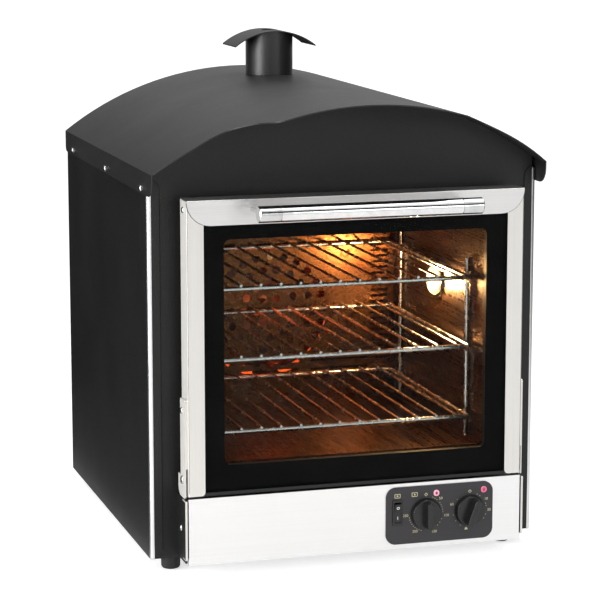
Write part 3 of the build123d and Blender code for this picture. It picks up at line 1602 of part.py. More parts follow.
with BuildPart() as neon_lamps:
    with BuildSketch(front_plane(panel_skin_rear + neon_depth)):
        with Locations(*neon_places):
            Circle(neon_diameter / 2)
    extrude(amount=panel_skin_rear + neon_depth - plate_face + neon_proud)
    fillet(neon_lamps.edges().group_by(Axis.Y)[0], neon_round)
neon_lamps.part.label = "neon_lamps"
export_step(neon_lamps.part, "parts/neon_lamps.step")

# ---------------------------------------------------------------- rocker switch
well_width = rocker_width + 2 * play
well_length = rocker_length + 2 * play
rocker_pivot_y = plate_face + rocker_pin_depth
pin_bore_x = rocker_x - bezel_width / 2 + rocker_wall

with BuildPart() as switch_body:
    with BuildSketch(front_plane(plate_face)):
        with Locations((rocker_x, rocker_z)):
            RectangleRounded(bezel_width, bezel_height, 1.0)
    extrude(amount=bezel_lip)
    with BuildSketch(front_plane(panel_skin_rear + switch_depth)):
        with Locations((rocker_x, rocker_z)):
            Rectangle(switch_width, switch_height)
    extrude(amount=panel_skin_rear + switch_depth - plate_face)
    with BuildSketch(front_plane(plate_face + rocker_well)):
        with Locations((rocker_x, rocker_z)):
            Rectangle(well_width, well_length)
    extrude(amount=rocker_well + bezel_lip, mode=Mode.SUBTRACT)
    with BuildSketch(side_plane(pin_bore_x)):
        with Locations((rocker_pivot_y, rocker_z)):
            Circle(rocker_pin + running_fit)
    extrude(amount=bezel_width - 2 * rocker_wall, mode=Mode.SUBTRACT)
switch_body.part.label = "switch_body"
export_step(switch_body.part, "parts/switch_body.step")

# The rocker's face is a shallow V, and it rests with its lower half pressed in.
rocker_half = rocker_length / 2 - rocker_end_gap
rocker_rise = rocker_half * sin(radians(rocker_tilt))
ridge_y = bezel_face + rocker_sink
rocker_rear = rocker_pivot_y + rocker_back
raised_end = (bezel_face - rocker_rise * rocker_high, rocker_z + rocker_half * rocker_high_end)

with BuildPart() as switch_rocker:
    with BuildSketch(side_plane(rocker_x - rocker_width / 2)):
        with BuildLine():
            Polyline(
                raised_end,
                (ridge_y, rocker_z),
                (ridge_y + rocker_rise * rocker_low, rocker_z - rocker_half),
                (rocker_rear, rocker_z - rocker_half * rocker_low_end),
                (rocker_rear, rocker_z + rocker_half * rocker_heel),
                raised_end,
            )
        make_face()
    extrude(amount=rocker_width)
    with BuildSketch(side_plane(pin_bore_x + slip)):
        with Locations((rocker_pivot_y, rocker_z)):
            Circle(rocker_pin)
    extrude(amount=bezel_width - 2 * rocker_wall - 2 * slip)
switch_rocker.part.label = "switch_rocker"
export_step(switch_rocker.part, "parts/switch_rocker.step")

# ---------------------------------------------------------------- supply and safety pieces
with BuildPart() as cable_gland:
    with BuildSketch(front_plane(back_y)):
        with Locations((gland_x, gland_height)):
            RegularPolygon(radius=gland_diameter / 2, side_count=6)
    extrude(amount=-gland_nut)
    with BuildSketch(front_plane(back_y + gland_nut)):
        with Locations((gland_x, gland_height)):
            Circle(gland_dome_diameter / 2)
    extrude(amount=gland_nut - gland_reach)
    fillet(cable_gland.edges().group_by(Axis.Y)[-1], gland_dome_round)
    with BuildSketch(front_plane(back_y)):
        with Locations((gland_x, gland_height)):
            Circle(gland_thread)
    extrude(amount=gland_thread_length)
    with BuildSketch(front_plane(back_y + gland_reach)):
        with Locations((gland_x, gland_height)):
            Circle(gland_bore / 2)
    extrude(amount=gland_reach + gland_thread_length, mode=Mode.SUBTRACT)
cable_gland.part.label = "cable_gland"
export_step(cable_gland.part, "parts/cable_gland.step")

terminal_floor = casing_floor + steel

with BuildPart() as terminal_block:
    with BuildSketch(level(terminal_floor)):
        with Locations((gland_x, back_y - terminal_inset)):
            Rectangle(terminal_length, terminal_width)
    extrude(amount=terminal_height)
    with BuildSketch(level(terminal_floor + terminal_height)):
        with Locations((gland_x, back_y - terminal_inset)):
            with GridLocations(terminal_pitch_x, terminal_pitch_y, 3, 2):
                Circle(terminal_hole / 2)
    extrude(amount=-terminal_hole_depth, mode=Mode.SUBTRACT)
terminal_block.part.label = "terminal_block"
export_step(terminal_block.part, "parts/terminal_block.step")

with BuildPart() as safety_cutout:
    with BuildSketch(front_plane(liner_rear + rear_insulation + cutout_depth)):
        with Locations((cutout_x, cavity_top - cutout_drop)):
            RectangleRounded(cutout_width, cutout_height, cutout_round)
    extrude(amount=cutout_depth)
safety_cutout.part.label = "safety_cutout"
export_step(safety_cutout.part, "parts/safety_cutout.step")

# Sensing bulb of the thermostat, clipped to the left wall of the oven.
with BuildPart() as thermostat_phial:
    with BuildSketch(front_plane(front_y + phial_back)):
        with Locations((phial_stand - cavity_half, phial_height)):
            Circle(phial_diameter / 2)
    extrude(amount=phial_length)
    with BuildSketch(front_plane(front_y + phial_back - phial_length / 2 + phial_clip / 2)):
        with Locations((-cavity_half, phial_height)):
            Rectangle(phial_stand, phial_diameter, align=(Align.MIN, Align.CENTER))
    extrude(amount=phial_clip)
thermostat_phial.part.label = "thermostat_phial"
export_step(thermostat_phial.part, "parts/thermostat_phial.step")
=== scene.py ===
import math

import bmesh
import bpy
from mathutils import Matrix, Vector


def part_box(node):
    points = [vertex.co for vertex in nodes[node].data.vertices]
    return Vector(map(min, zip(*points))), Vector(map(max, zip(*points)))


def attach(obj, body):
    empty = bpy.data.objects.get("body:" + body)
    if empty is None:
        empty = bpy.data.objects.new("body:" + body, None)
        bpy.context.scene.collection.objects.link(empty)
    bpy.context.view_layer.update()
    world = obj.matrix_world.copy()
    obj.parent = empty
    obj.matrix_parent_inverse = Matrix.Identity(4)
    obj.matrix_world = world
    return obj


# Looks of the counter-top oven. Metres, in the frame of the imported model: X to the right,
# Y to the back, Z up, with the origin on the counter. Drawings on the part are in millimetres.

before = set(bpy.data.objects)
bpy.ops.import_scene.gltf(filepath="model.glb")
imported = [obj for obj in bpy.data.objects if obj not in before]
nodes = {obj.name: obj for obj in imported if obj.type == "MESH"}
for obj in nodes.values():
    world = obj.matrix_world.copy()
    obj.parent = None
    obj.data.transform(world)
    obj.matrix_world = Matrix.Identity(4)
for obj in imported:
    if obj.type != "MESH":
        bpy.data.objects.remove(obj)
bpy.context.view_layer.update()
MM = 0.001


# ---------------------------------------------------------------- material helpers
class Finish:
    """A material whose main shader takes its colour, roughness and bump from a node graph."""

    def __init__(self, name):
        self.material = bpy.data.materials.new(name)
        self.material.use_nodes = True
        self.tree = self.material.node_tree
        self.tree.nodes.clear()
        self.output = self.add("ShaderNodeOutputMaterial")
        self.shader = self.add("ShaderNodeBsdfPrincipled")
        self.link(self.shader.outputs[0], self.output.inputs["Surface"])
        self.place = self.add("ShaderNodeTexCoord").outputs["Object"]

    def add(self, kind):
        return self.tree.nodes.new(kind)

    def link(self, source, target):
        self.tree.links.new(source, target)

    def set(self, **values):
        for name, value in values.items():
            self.shader.inputs[name.replace("_", " ")].default_value = value

    def stretched(self, x, y, z):
        mapping = self.add("ShaderNodeMapping")
        mapping.inputs["Scale"].default_value = (x, y, z)
        self.link(self.place, mapping.inputs["Vector"])
        return mapping.outputs["Vector"]

    def noise(self, scale, detail=2.0, roughness=0.5, place=None, distortion=0.0):
        node = self.add("ShaderNodeTexNoise")
        node.inputs["Scale"].default_value = scale
        node.inputs["Detail"].default_value = detail
        node.inputs["Roughness"].default_value = roughness
        node.inputs["Distortion"].default_value = distortion
        self.link(self.place if place is None else place, node.inputs["Vector"])
        return node.outputs["Fac"]

    def cells(self, scale, feature="F1", output="Distance", place=None):
        node = self.add("ShaderNodeTexVoronoi")
        node.feature = feature
        node.inputs["Scale"].default_value = scale
        self.link(self.place if place is None else place, node.inputs["Vector"])
        return node.outputs[output]

    def ramp(self, value, stops):
        node = self.add("ShaderNodeValToRGB")
        elements = node.color_ramp.elements
        while len(elements) < len(stops):
            elements.new(0.5)
        for element, (position, colour) in zip(elements, stops):
            element.position = position
            element.color = (*colour, 1.0)
        self.link(value, node.inputs["Fac"])
        return node.outputs["Color"]

    def mixed(self, share, first, second):
        node = self.add("ShaderNodeMix")
        node.data_type = "RGBA"
        self.link(share, node.inputs["Factor"])
        colour_sockets = [s for s in node.inputs if s.type == "RGBA"]
        for source, socket in zip((first, second), colour_sockets):
            if isinstance(source, tuple):
                socket.default_value = (*source, 1.0)
            else:
                self.link(source, socket)
        return next(s for s in node.outputs if s.type == "RGBA")

    def ranged(self, value, low, high, from_low=0.0, from_high=1.0):
        node = self.add("ShaderNodeMapRange")
        node.inputs["From Min"].default_value = from_low
        node.inputs["From Max"].default_value = from_high
        node.inputs["To Min"].default_value = low
        node.inputs["To Max"].default_value = high
        self.link(value, node.inputs["Value"])
        return node.outputs["Result"]

    def math(self, operation, first, second=None):
        node = self.add("ShaderNodeMath")
        node.operation = operation
        for source, socket in zip((first, second), node.inputs):
            if source is None:
                continue
            if isinstance(source, (int, float)):
                socket.default_value = source
            else:
                self.link(source, socket)
        return node.outputs[0]
    def shares(self, *parts):
        """Sum of values, each times its own share."""
        total = None
        for value, share in parts:
            part = self.math("MULTIPLY", value, share)
            total = part if total is None else self.math("ADD", total, part)
        return total
    def bump(self, height, strength, distance, below=None):
        node = self.add("ShaderNodeBump")
        node.inputs["Strength"].default_value = strength
        node.inputs["Distance"].default_value = distance
        self.link(height, node.inputs["Height"])
        if below is not None:
            self.link(below, node.inputs["Normal"])
        return node.outputs["Normal"]

    def colour(self, source):
        self.link(source, self.shader.inputs["Base Color"])

    def rough(self, source):
        self.link(source, self.shader.inputs["Roughness"])

    def normal(self, source):
        self.link(source, self.shader.inputs["Normal"])


def grey(level, warm=0.0):
    return (level * (1 + warm), level, level * (1 - warm))


def powder_coat(name, dark, light, gloss, shine=0.36):
    """Black powder coat: a fine dimpled skin with slow drifts of tone."""
    f = Finish(name)
    f.set(Specular_IOR_Level=shine)
    drift = f.noise(9, 3, 0.6)
    grain = f.noise(700, 2, 0.6)
    speck = f.noise(1800, 1, 0.5)
    tone = f.shares((drift, 0.45), (grain, 0.55))
    f.colour(f.ramp(tone, [(0.3, dark), (0.7, light)]))
    f.rough(f.ranged(tone, gloss - 0.05, gloss + 0.08, 0.3, 0.7))
    skin = f.bump(grain, 0.35, 0.0006)
    f.normal(f.bump(speck, 0.15, 0.0003, skin))
    return f.material


def brushed(name, along, dark, light, low, high, depth=0.02, metal=1.0, satin_sides=False):
    """Brushed steel whose lines run along the X, Y or Z axis; cut sides can be left satin."""
    f = Finish(name)
    scale = {"x": (6, 900, 900), "y": (900, 6, 900), "z": (900, 900, 6)}[along]
    long_scale = {"x": (1.2, 160, 160), "y": (160, 1.2, 160), "z": (160, 160, 1.2)}[along]
    lines = f.noise(1.0, 3, 0.6, f.stretched(*scale))
    bands = f.noise(1.0, 2, 0.5, f.stretched(*long_scale))
    cloud = f.noise(14, 3, 0.55)
    tone = f.shares((lines, 0.5), (bands, 0.3), (cloud, 0.2))
    f.colour(f.ramp(tone, [(0.3, dark), (0.7, light)]))
    shine = f.ranged(tone, low, high, 0.3, 0.7)
    if satin_sides:
        split = f.add("ShaderNodeSeparateXYZ")
        f.link(f.add("ShaderNodeNewGeometry").outputs["Normal"], split.inputs[0])
        sideways = f.math("ABSOLUTE", split.outputs["X"])
        side = f.ranged(sideways, 0.0, 1.0, 0.55, 0.8)
        f.link(f.ranged(side, 1.0, 0.3), f.shader.inputs["Metallic"])
        shine = f.math("ADD", shine, f.math("MULTIPLY", side, 0.15))
    else:
        f.set(Metallic=metal)
    f.rough(shine)
    f.normal(f.bump(lines, depth, 0.0002))
    return f.material


def polished(name, dark, light, low, high):
    """Polished metal with faint turning lines and handling marks."""
    f = Finish(name)
    marks = f.noise(55, 4, 0.65, distortion=0.6)
    fine = f.noise(1.0, 2, 0.5, f.stretched(900, 40, 40))
    f.colour(f.ramp(marks, [(0.35, dark), (0.65, light)]))
    f.rough(f.ranged(marks, low, high, 0.35, 0.7))
    f.set(Metallic=1.0)
    f.normal(f.bump(fine, 0.005, 0.0001))
    return f.material


def moulded(name, dark, light, gloss, grain_scale=1500, depth=0.12):
    """Moulded plastic or rubber with a fine eroded grain."""
    f = Finish(name)
    drift = f.noise(35, 3, 0.6)
    grain = f.noise(grain_scale, 2, 0.6)
    f.colour(f.ramp(drift, [(0.3, dark), (0.7, light)]))
    f.rough(f.ranged(grain, gloss - 0.06, gloss + 0.08, 0.3, 0.7))
    f.normal(f.bump(grain, depth, 0.0003))
    return f.material


def zinc_sheet(name):
    """Zinc coated sheet with its crystal pattern."""
    f = Finish(name)
    crystals = f.cells(75, output="Color")
    part = f.add("ShaderNodeSeparateColor")
    f.link(crystals, part.inputs[0])
    haze = f.noise(30, 4, 0.6)
    tone = f.shares((part.outputs[0], 0.55), (haze, 0.45))
    f.colour(f.ramp(tone, [(0.2, grey(0.36)), (0.8, grey(0.56))]))
    f.rough(f.ranged(tone, 0.32, 0.5, 0.2, 0.8))
    f.set(Metallic=1.0)
    f.normal(f.bump(haze, 0.08, 0.0004))
    return f.material


def oven_steel(name):
    """Stainless sheet of the oven's inside, tinted by heat and with faint baked-on marks; its tints are
    kept very dark, which also paints in the shade inside the oven.
    """
    f = Finish(name)
    lines = f.noise(1.0, 3, 0.6, f.stretched(500, 6, 500))
    cloud = f.noise(9, 4, 0.6, distortion=0.4)
    spots = f.noise(120, 3, 0.7)
    # Heat tint, kept very dark so that it also paints the shade inside the oven.
    heat_and_shade_tints = [(0.3, (0.070, 0.026, 0.011)), (0.6, (0.15, 0.070, 0.030)), (0.8, (0.05, 0.019, 0.010))]
    tint = f.ramp(cloud, heat_and_shade_tints)
    soil = f.ranged(spots, 0.0, 0.7, 0.50, 0.70)
    f.colour(f.mixed(soil, tint, (0.024, 0.008, 0.004)))
    f.rough(f.ranged(f.math("ADD", lines, soil), 0.22, 0.46, 0.3, 1.1))
    f.set(Metallic=1.0)
    f.normal(f.bump(lines, 0.05, 0.0002))
    return f.material


def see_through(name, tint, gloss_tint, smear_level, glow=None, glow_strength=0.0):
    """Clear glass: what lies behind shows through, with a mirror coat that grows at a glance."""
    f = Finish(name)
    smear = f.noise(26, 4, 0.6, distortion=0.8)
    f.colour(f.ramp(smear, [(0.3, gloss_tint), (0.8, grey(0.10))]))
    f.rough(f.ranged(smear, 0.01, 0.06, 0.4, 0.8))
    f.set(Metallic=0.0)
    if glow is not None:
        f.set(Emission_Color=(*glow, 1.0), Emission_Strength=glow_strength)
    clear = f.add("ShaderNodeBsdfTransparent")
    clear.inputs["Color"].default_value = (*tint, 1.0)
    edge = f.add("ShaderNodeLayerWeight")
    edge.inputs["Blend"].default_value = 0.5
    coat = f.math("POWER", edge.outputs["Facing"], 4.0)
    haze = f.ranged(smear, 0.008, smear_level, 0.35, 0.8)
    coat = f.math("ADD", f.math("MULTIPLY", coat, 0.7), haze)
    mix = f.add("ShaderNodeMixShader")
    f.link(coat, mix.inputs[0])
    f.link(clear.outputs[0], mix.inputs[1])
    f.link(f.shader.outputs[0], mix.inputs[2])
    f.link(mix.outputs[0], f.output.inputs["Surface"])
    return f.material


def glowing(name, cold, hot, strength, scale=60):
    """A hot or lit surface: the light it gives drifts a little over it."""
    f = Finish(name)
    drift = f.noise(scale, 3, 0.6)
    colour = f.ramp(drift, [(0.3, cold), (0.7, hot)])
    f.colour(colour)
    f.rough(f.ranged(drift, 0.25, 0.45))
    f.link(colour, f.shader.inputs["Emission Color"])
    f.set(Emission_Strength=strength)
    f.normal(f.bump(f.noise(scale * 12, 2, 0.5), 0.1, 0.0003))
    return f.material


def neon_lens(name, centres, radius, squat):
    """Two lit neon lenses: rings of tone round each lens's own middle, the second one deeper."""
    f = Finish(name)
    split = f.add("ShaderNodeSeparateXYZ")
    f.link(f.place, split.inputs[0])
    reach = None
    for x, z in centres:
        across = f.math("SUBTRACT", split.outputs["X"], x * MM)
        rise = f.math("MULTIPLY", f.math("SUBTRACT", split.outputs["Z"], z * MM), squat)
        spread = f.math("ADD", f.math("MULTIPLY", across, across), f.math("MULTIPLY", rise, rise))
        away = f.math("SQRT", spread)
        reach = away if reach is None else f.math("MINIMUM", reach, away)
    uneven = f.math("MULTIPLY", f.noise(900, 2, 0.6), 0.0008)
    share = f.ranged(f.math("ADD", reach, uneven), 0.0, 1.0, 0.0, radius * MM)
    pale_rings = [
        (0.28, (0.20, 0.006, 0.025)),
        (0.46, (0.80, 0.30, 0.40)),
        (0.78, (0.88, 0.50, 0.60)),
        (0.95, (0.42, 0.12, 0.19)),
    ]
    deep_rings = [
        (0.20, (0.48, 0.03, 0.09)),
        (0.55, (0.62, 0.10, 0.20)),
        (0.80, (0.74, 0.24, 0.34)),
        (0.95, (0.36, 0.06, 0.12)),
    ]
    pale, deep = f.ramp(share, pale_rings), f.ramp(share, deep_rings)
    middle = sum(x for x, z in centres) / 2 * MM
    second = f.math("GREATER_THAN", split.outputs["X"], middle)
    colour = f.mixed(second, pale, deep)
    f.colour(colour)
    f.rough(f.ranged(uneven, 0.15, 0.3, 0.0, 0.0008))
    f.link(colour, f.shader.inputs["Emission Color"])
    f.set(Emission_Strength=0.25)
    return f.material


def wool(name):
    """Mineral wool: tangled fibres in a pressed blanket."""
    f = Finish(name)
    fibres = f.noise(260, 5, 0.75, distortion=2.5)
    lumps = f.noise(28, 3, 0.6)
    tone = f.shares((fibres, 0.6), (lumps, 0.4))
    f.colour(f.ramp(tone, [(0.35, (0.24, 0.19, 0.09)), (0.65, (0.46, 0.41, 0.24))]))
    f.rough(f.ranged(fibres, 0.85, 1.0))
    f.normal(f.bump(tone, 0.8, 0.003))
    return f.material


def print_and_shade(name, dark, light, shine=0.4):
    """Baked print, and painted shade for recesses and seams: an even tone with a slightly uneven edge of
    thickness.
    """
    f = Finish(name)
    f.set(Specular_IOR_Level=shine)
    drift = f.noise(420, 2, 0.6)
    f.colour(f.ramp(drift, [(0.3, dark), (0.7, light)]))
    f.rough(f.ranged(drift, 0.35, 0.55))
    f.normal(f.bump(drift, 0.06, 0.0001))
    return f.material


# ---------------------------------------------------------------- finishes
coat = powder_coat("powder_coat_black", grey(0.006), grey(0.012), 0.44)
# The roof's copy of the black coat is painted lighter than the rest, as painted sheen, and has a higher
# specular level.
roof_coat_with_sheen = powder_coat("powder_coat_roof_with_sheen", grey(0.010), grey(0.019), 0.46, 0.5)
coat_chimney = powder_coat("powder_coat_chimney", grey(0.007), grey(0.013), 0.34, 0.7)
steel_panel = brushed(
    "brushed_steel_panel", "x", grey(0.83, 0.004), grey(0.88, 0.004), 0.32, 0.42, 0.015
)
steel_rail = brushed("brushed_steel_rail", "x", grey(0.68, 0.012), grey(0.76, 0.012), 0.26, 0.38)
steel_stile = brushed(
    "brushed_steel_stile",
    "z",
    (0.69, 0.675, 0.64),
    (0.77, 0.755, 0.72),
    0.28,
    0.40,
    satin_sides=True,
)
steel_bracket = polished("polished_bracket", grey(0.56), grey(0.68), 0.08, 0.16)
steel_corner = brushed("brushed_steel_corner", "z", grey(0.74), grey(0.82), 0.30, 0.40)
chrome = polished("polished_steel", grey(0.72), grey(0.84), 0.05, 0.12)
oven = oven_steel("oven_steel")
zinc = zinc_sheet("zinc_sheet")
door_glass = see_through("door_glass", (0.95, 0.96, 0.955), grey(0.01), 0.03)
lamp_amber = (1.0, 0.66, 0.30)
lamp_cover = see_through("lamp_cover", (1.0, 0.93, 0.78), grey(0.3), 0.12, lamp_amber, 6.0)
bulb = glowing("lit_bulb", (1.0, 0.60, 0.25), (1.0, 0.78, 0.45), 40.0)
hot_ring = glowing("hot_element", (0.40, 0.02, 0.003), (1.0, 0.12, 0.015), 1.6, 45)
neon_places, neon_radius, neon_squat = [(102.6, 90.4), (165.4, 90.4)], 4.6, 0.75
neon = neon_lens("lit_neon", neon_places, neon_radius, neon_squat)
rubber = moulded("rubber", grey(0.010), grey(0.020), 0.62, 500, 0.25)
silicone = moulded("silicone", grey(0.028), grey(0.045), 0.42, 900, 0.10)
plastic = moulded("knob_plastic", grey(0.007), grey(0.012), 0.28)
plastic_switch = moulded("switch_plastic", grey(0.006), grey(0.010), 0.22)
plate_finish = brushed(
    "plate_finish", "x", (0.030, 0.028, 0.031), (0.040, 0.037, 0.041), 0.36, 0.46, 0.01, metal=0.2
)
pale_plastic = moulded("pale_plastic", grey(0.50, 0.03), grey(0.62, 0.03), 0.45, 800, 0.1)
wire = polished("plated_wire", grey(0.58, 0.03), grey(0.76, 0.02), 0.16, 0.34)
aluminium = brushed("aluminium", "x", (0.16, 0.13, 0.11), (0.26, 0.22, 0.19), 0.34, 0.48)
motor = powder_coat("motor_steel", grey(0.05), grey(0.09), 0.45)
screw = polished("zinc_screw", grey(0.66, 0.01), grey(0.82, 0.01), 0.14, 0.28)
shaft = polished("turned_shaft", grey(0.50), grey(0.64), 0.18, 0.32)
blanket = wool("mineral_wool")
fired_border = print_and_shade("fired_border", grey(0.0012), grey(0.0022), 0.05)
pale_print = print_and_shade("pale_print", (0.60, 0.57, 0.34), (0.72, 0.69, 0.45))
white_print = print_and_shade("white_print", grey(0.74), grey(0.84))
# Painted shade of the screws' cross recesses.
recess_shade = print_and_shade("recess_shade", grey(0.010), grey(0.025), 0.2)
# Painted shadow along the edge of the casing's front fold, on the fascia.
seam_shade = print_and_shade("seam_shade", grey(0.010), grey(0.02), 0.1)
# Painted shadow along the top rail's curved lower corners and painted shade along the door's outer
# edges.
rail_seam_shade = print_and_shade("rail_seam_shade", grey(0.16, 0.02), grey(0.24, 0.02), 0.2)

finishes = {
    coat: "side_casing_left side_casing_right front_fascia back_panel door_bottom_rail "
    "hinge_cheeks door_spacer",
    roof_coat_with_sheen: "roof_cover chimney_cap",
    coat_chimney: "chimney_tube",
    steel_panel: "control_panel",
    steel_rail: "door_top_rail",
    steel_stile: "door_stile_left door_stile_right hinge_straps cheek_trims",
    steel_bracket: "handle_brackets",
    chrome: "handle_bar lamp_bezel",
    oven: "oven_liner mouth_frame fan_baffle",
    zinc: "base_tray steam_flue oven_cradle lamp_cup",
    door_glass: "door_outer_glass door_inner_glass",
    lamp_cover: "lamp_glass",
    bulb: "lamp_bulb",
    hot_ring: "heating_ring",
    neon: "neon_lamps",
    rubber: "feet",
    silicone: "door_seal",
    plastic: "thermostat_knob timer_knob cable_gland",
    plastic_switch: "switch_body switch_rocker",
    plate_finish: "control_plate",
    pale_plastic: "thermostat_body timer_body terminal_block safety_cutout",
    wire: "shelf_racks shelf_top shelf_middle shelf_bottom",
    aluminium: "fan_impeller",
    motor: "fan_motor",
    screw: "door_screws casing_screws",
    shaft: "fan_shaft fan_nut thermostat_shaft timer_shaft hinge_pins thermostat_phial",
    blanket: "insulation_wrap insulation_rear",
}
for material, names in finishes.items():
    for name in names.split():
        slots = nodes[name].data.materials
        if len(slots) == 0:
            slots.append(material)
        for index in range(len(slots)):
            slots[index] = material


# ---------------------------------------------------------------- shape helpers
def finished(name, mesh, body, material):
    piece = bpy.data.objects.new(name, mesh)
    bpy.context.scene.collection.objects.link(piece)
    mesh.materials.clear()
    mesh.materials.append(material)
    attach(piece, body)
    return piece


def upright(y):
    """Turns a drawing in X and Y into the part's X and Z at depth y, facing the front."""
    return Matrix.Translation((0, y, 0)) @ Matrix.Rotation(math.radians(90), 4, "X")


def circle(x, z, radius, count=32):
    turns = [2 * math.pi * i / count for i in range(count)]
    return [(x + radius * math.cos(t), z + radius * math.sin(t)) for t in turns]


def rounded_box(left, floor, right, top, radius, count=8):
    points = []
    corners = [(right, top, 0), (left, top, 90), (left, floor, 180), (right, floor, 270)]
    for x, z, start in corners:
        cx = x - radius if x == right else x + radius
        cz = z - radius if z == top else z + radius
        for i in range(count + 1):
            t = math.radians(start + 90 * i / count)
            points.append((cx + radius * math.cos(t), cz + radius * math.sin(t)))
    return points


def drawn(loops, thickness):
    """Mesh of a flat shape drawn by closed loops in millimetres; inner loops are holes."""
    curve = bpy.data.curves.new("drawing", "CURVE")
    curve.dimensions = "2D"
    curve.fill_mode = "BOTH"
    curve.extrude = thickness * MM / 2
    for loop in loops:
        spline = curve.splines.new("POLY")
        spline.points.add(len(loop) - 1)
        for point, (x, z) in zip(spline.points, loop):
            point.co = (x * MM, z * MM, 0, 1)
        spline.use_cyclic_u = True
    holder = bpy.data.objects.new("drawing", curve)
    mesh = bpy.data.meshes.new_from_object(holder)
    bpy.data.objects.remove(holder)
    bpy.data.curves.remove(curve)
    return mesh


def lettering(words, x, z, size, thickness):
    """Mesh of a number, centred on x and z, in the drawing's own X and Y."""
    text = bpy.data.curves.new("lettering", "FONT")
    text.body = words
    text.size = size * MM
    text.align_x = "CENTER"
    text.align_y = "CENTER"
    text.extrude = thickness * MM / 2
    text.resolution_u = 3
    holder = bpy.data.objects.new("lettering", text)
    mesh = bpy.data.meshes.new_from_object(holder)
    bpy.data.objects.remove(holder)
    bpy.data.curves.remove(text)
    mesh.transform(Matrix.Translation((x * MM, z * MM, 0)))
    return mesh


def joined(meshes, matrix):
    """One mesh of several, moved by matrix."""
    whole = bmesh.new()
    for mesh in meshes:
        whole.from_mesh(mesh)
        bpy.data.meshes.remove(mesh)
    whole.transform(matrix)
    bmesh.ops.recalc_face_normals(whole, faces=whole.faces)
    mesh = bpy.data.meshes.new("joined")
    whole.to_mesh(mesh)
    whole.free()
    return mesh


# ---------------------------------------------------------------- black border of the door glass
pane_low, pane_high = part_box("door_outer_glass")
pane_edge, pane_round = 0.4, 1.0
window_half, window_floor, window_top, window_round = 167.5, 143.5, 420.0, 8.0
border_sheet, border_gap = 0.12, 0.2
border_outline = rounded_box(
    pane_low.x / MM + pane_edge,
    pane_low.z / MM + pane_edge,
    pane_high.x / MM - pane_edge,
    pane_high.z / MM - pane_edge,
    pane_round,
)
window_outline = rounded_box(-window_half, window_floor, window_half, window_top, window_round)
border_mesh = drawn([border_outline, window_outline], border_sheet)
border_mesh.transform(upright(pane_high.y - border_gap * MM))
border_mesh.name = "glass_border"
finished("glass_border", border_mesh, "door", fired_border)

# ---------------------------------------------------------------- print on the control plate
plate_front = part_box("control_plate")[0].y
print_sheet = 0.08
knob_height, thermostat_x, timer_x = 65.0, 89.0, 147.0
dial_marks = []


def diamond(x, z, half, line):
    loops = []
    for reach in (half, half - line):
        loops.append([(x - reach, z), (x, z - reach), (x + reach, z), (x, z + reach)])
    return drawn(loops, print_sheet)


def framed_dot(x, z, half_x, half_z, line, round_out, round_in, dot):
    """Meshes of a small rounded frame with a dot in it."""
    loops = []
    for inset, corner in ((0.0, round_out), (line, round_in)):
        loops.append(
            rounded_box(
                x - half_x + inset, z - half_z + inset, x + half_x - inset, z + half_z - inset, corner, 4
            )
        )
    return [drawn(loops, print_sheet), drawn([circle(x, z, dot, 14)], print_sheet)]


def arc_place(centre, degrees, radius):
    """Point at an angle that runs clockwise from the top of a dial."""
    turn = math.radians(degrees)
    return centre[0] + radius * math.sin(turn), centre[1] + radius * math.cos(turn)


dot_ring, dot_size, number_size = 22.2, 0.5, 4.8
diamond_ring, diamond_half, diamond_line = 24.4, 2.3, 0.85
# Each dial's numbers are words, an angle and a radius; its dots are angles.
thermostat_numbers = (
    ("50", 47, 26.6),
    ("100", 99, 27.4),
    ("150", 155, 26.3),
    ("200", 213, 26.2),
    ("250", 268, 26.8),
)
timer_numbers = (("10", 59, 25.4), ("30", 93, 25.8), ("60", 291, 25.5))
thermostat_dots = [24, 32, 40, 56, 64, 72, 80, 88, 112, 124, 136] + list(range(196, 264, 8))
timer_dots = [26, 37, 71, 79, 108, 122, 214, 236, 258, 312]
for dial_x, numbers, dots in (
    (thermostat_x, thermostat_numbers, thermostat_dots),
    (timer_x, timer_numbers, timer_dots),
):
    centre = (dial_x, knob_height)
    top_mark = arc_place(centre, 0, diamond_ring)
    dial_marks.append(diamond(*top_mark, diamond_half, diamond_line))
    for words, degrees, radius in numbers:
        place = arc_place(centre, degrees, radius)
        dial_marks.append(lettering(words, *place, number_size, print_sheet))
    for degrees in dots:
        dot = circle(*arc_place(centre, degrees, dot_ring), dot_size, 12)
        dial_marks.append(drawn([dot], print_sheet))

bell_x, bell_z = arc_place((timer_x, knob_height), 191, 24.0)
bell_foot, bell_crown, bell_drop, bell_rise = 2.2, 1.1, 1.2, 2.0
bell = [
    (bell_x - bell_foot, bell_z - bell_drop),
    (bell_x + bell_foot, bell_z - bell_drop),
    (bell_x + bell_crown, bell_z + bell_rise),
    (bell_x - bell_crown, bell_z + bell_rise),
]
dial_marks.append(drawn([bell], print_sheet))

sign_places = ((51.5, 90.0), (74.0, 90.4))
for x, z in sign_places:
    dial_marks += framed_dot(x, z, 3.8, 2.7, 0.7, 0.8, 0.4, 1.1)

print_mesh = joined(dial_marks, upright(plate_front - print_sheet * MM / 2))
finished("plate_print", print_mesh, "casing", pale_print)

# ---------------------------------------------------------------- marks on the rocker
rocker_x = 51.65
ridge = Vector((rocker_x, -245.4, 68.9))
upper_end = Vector((rocker_x, -248.46, 80.43))
lower_end = Vector((rocker_x, -245.06, 56.5))
ring_outer, ring_inner = 2.0, 1.15
bar_half, bar_reach, bar_round = 0.45, 2.0, 0.2
mark_share, mark_lift = 0.55, 0.05


def on_face(start, end, share, lift):
    """Matrix that lays a flat drawing on the rocker's face between two of its edges."""
    up = (end - start).normalized() if end.z > start.z else (start - end).normalized()
    out = Vector((1, 0, 0)).cross(up)
    if out.y > 0:
        out = -out
    middle = (start + (end - start) * share + out * lift) * MM
    rows = Matrix((Vector((1, 0, 0)), up, out)).transposed()
    return Matrix.Translation(middle) @ rows.to_4x4()


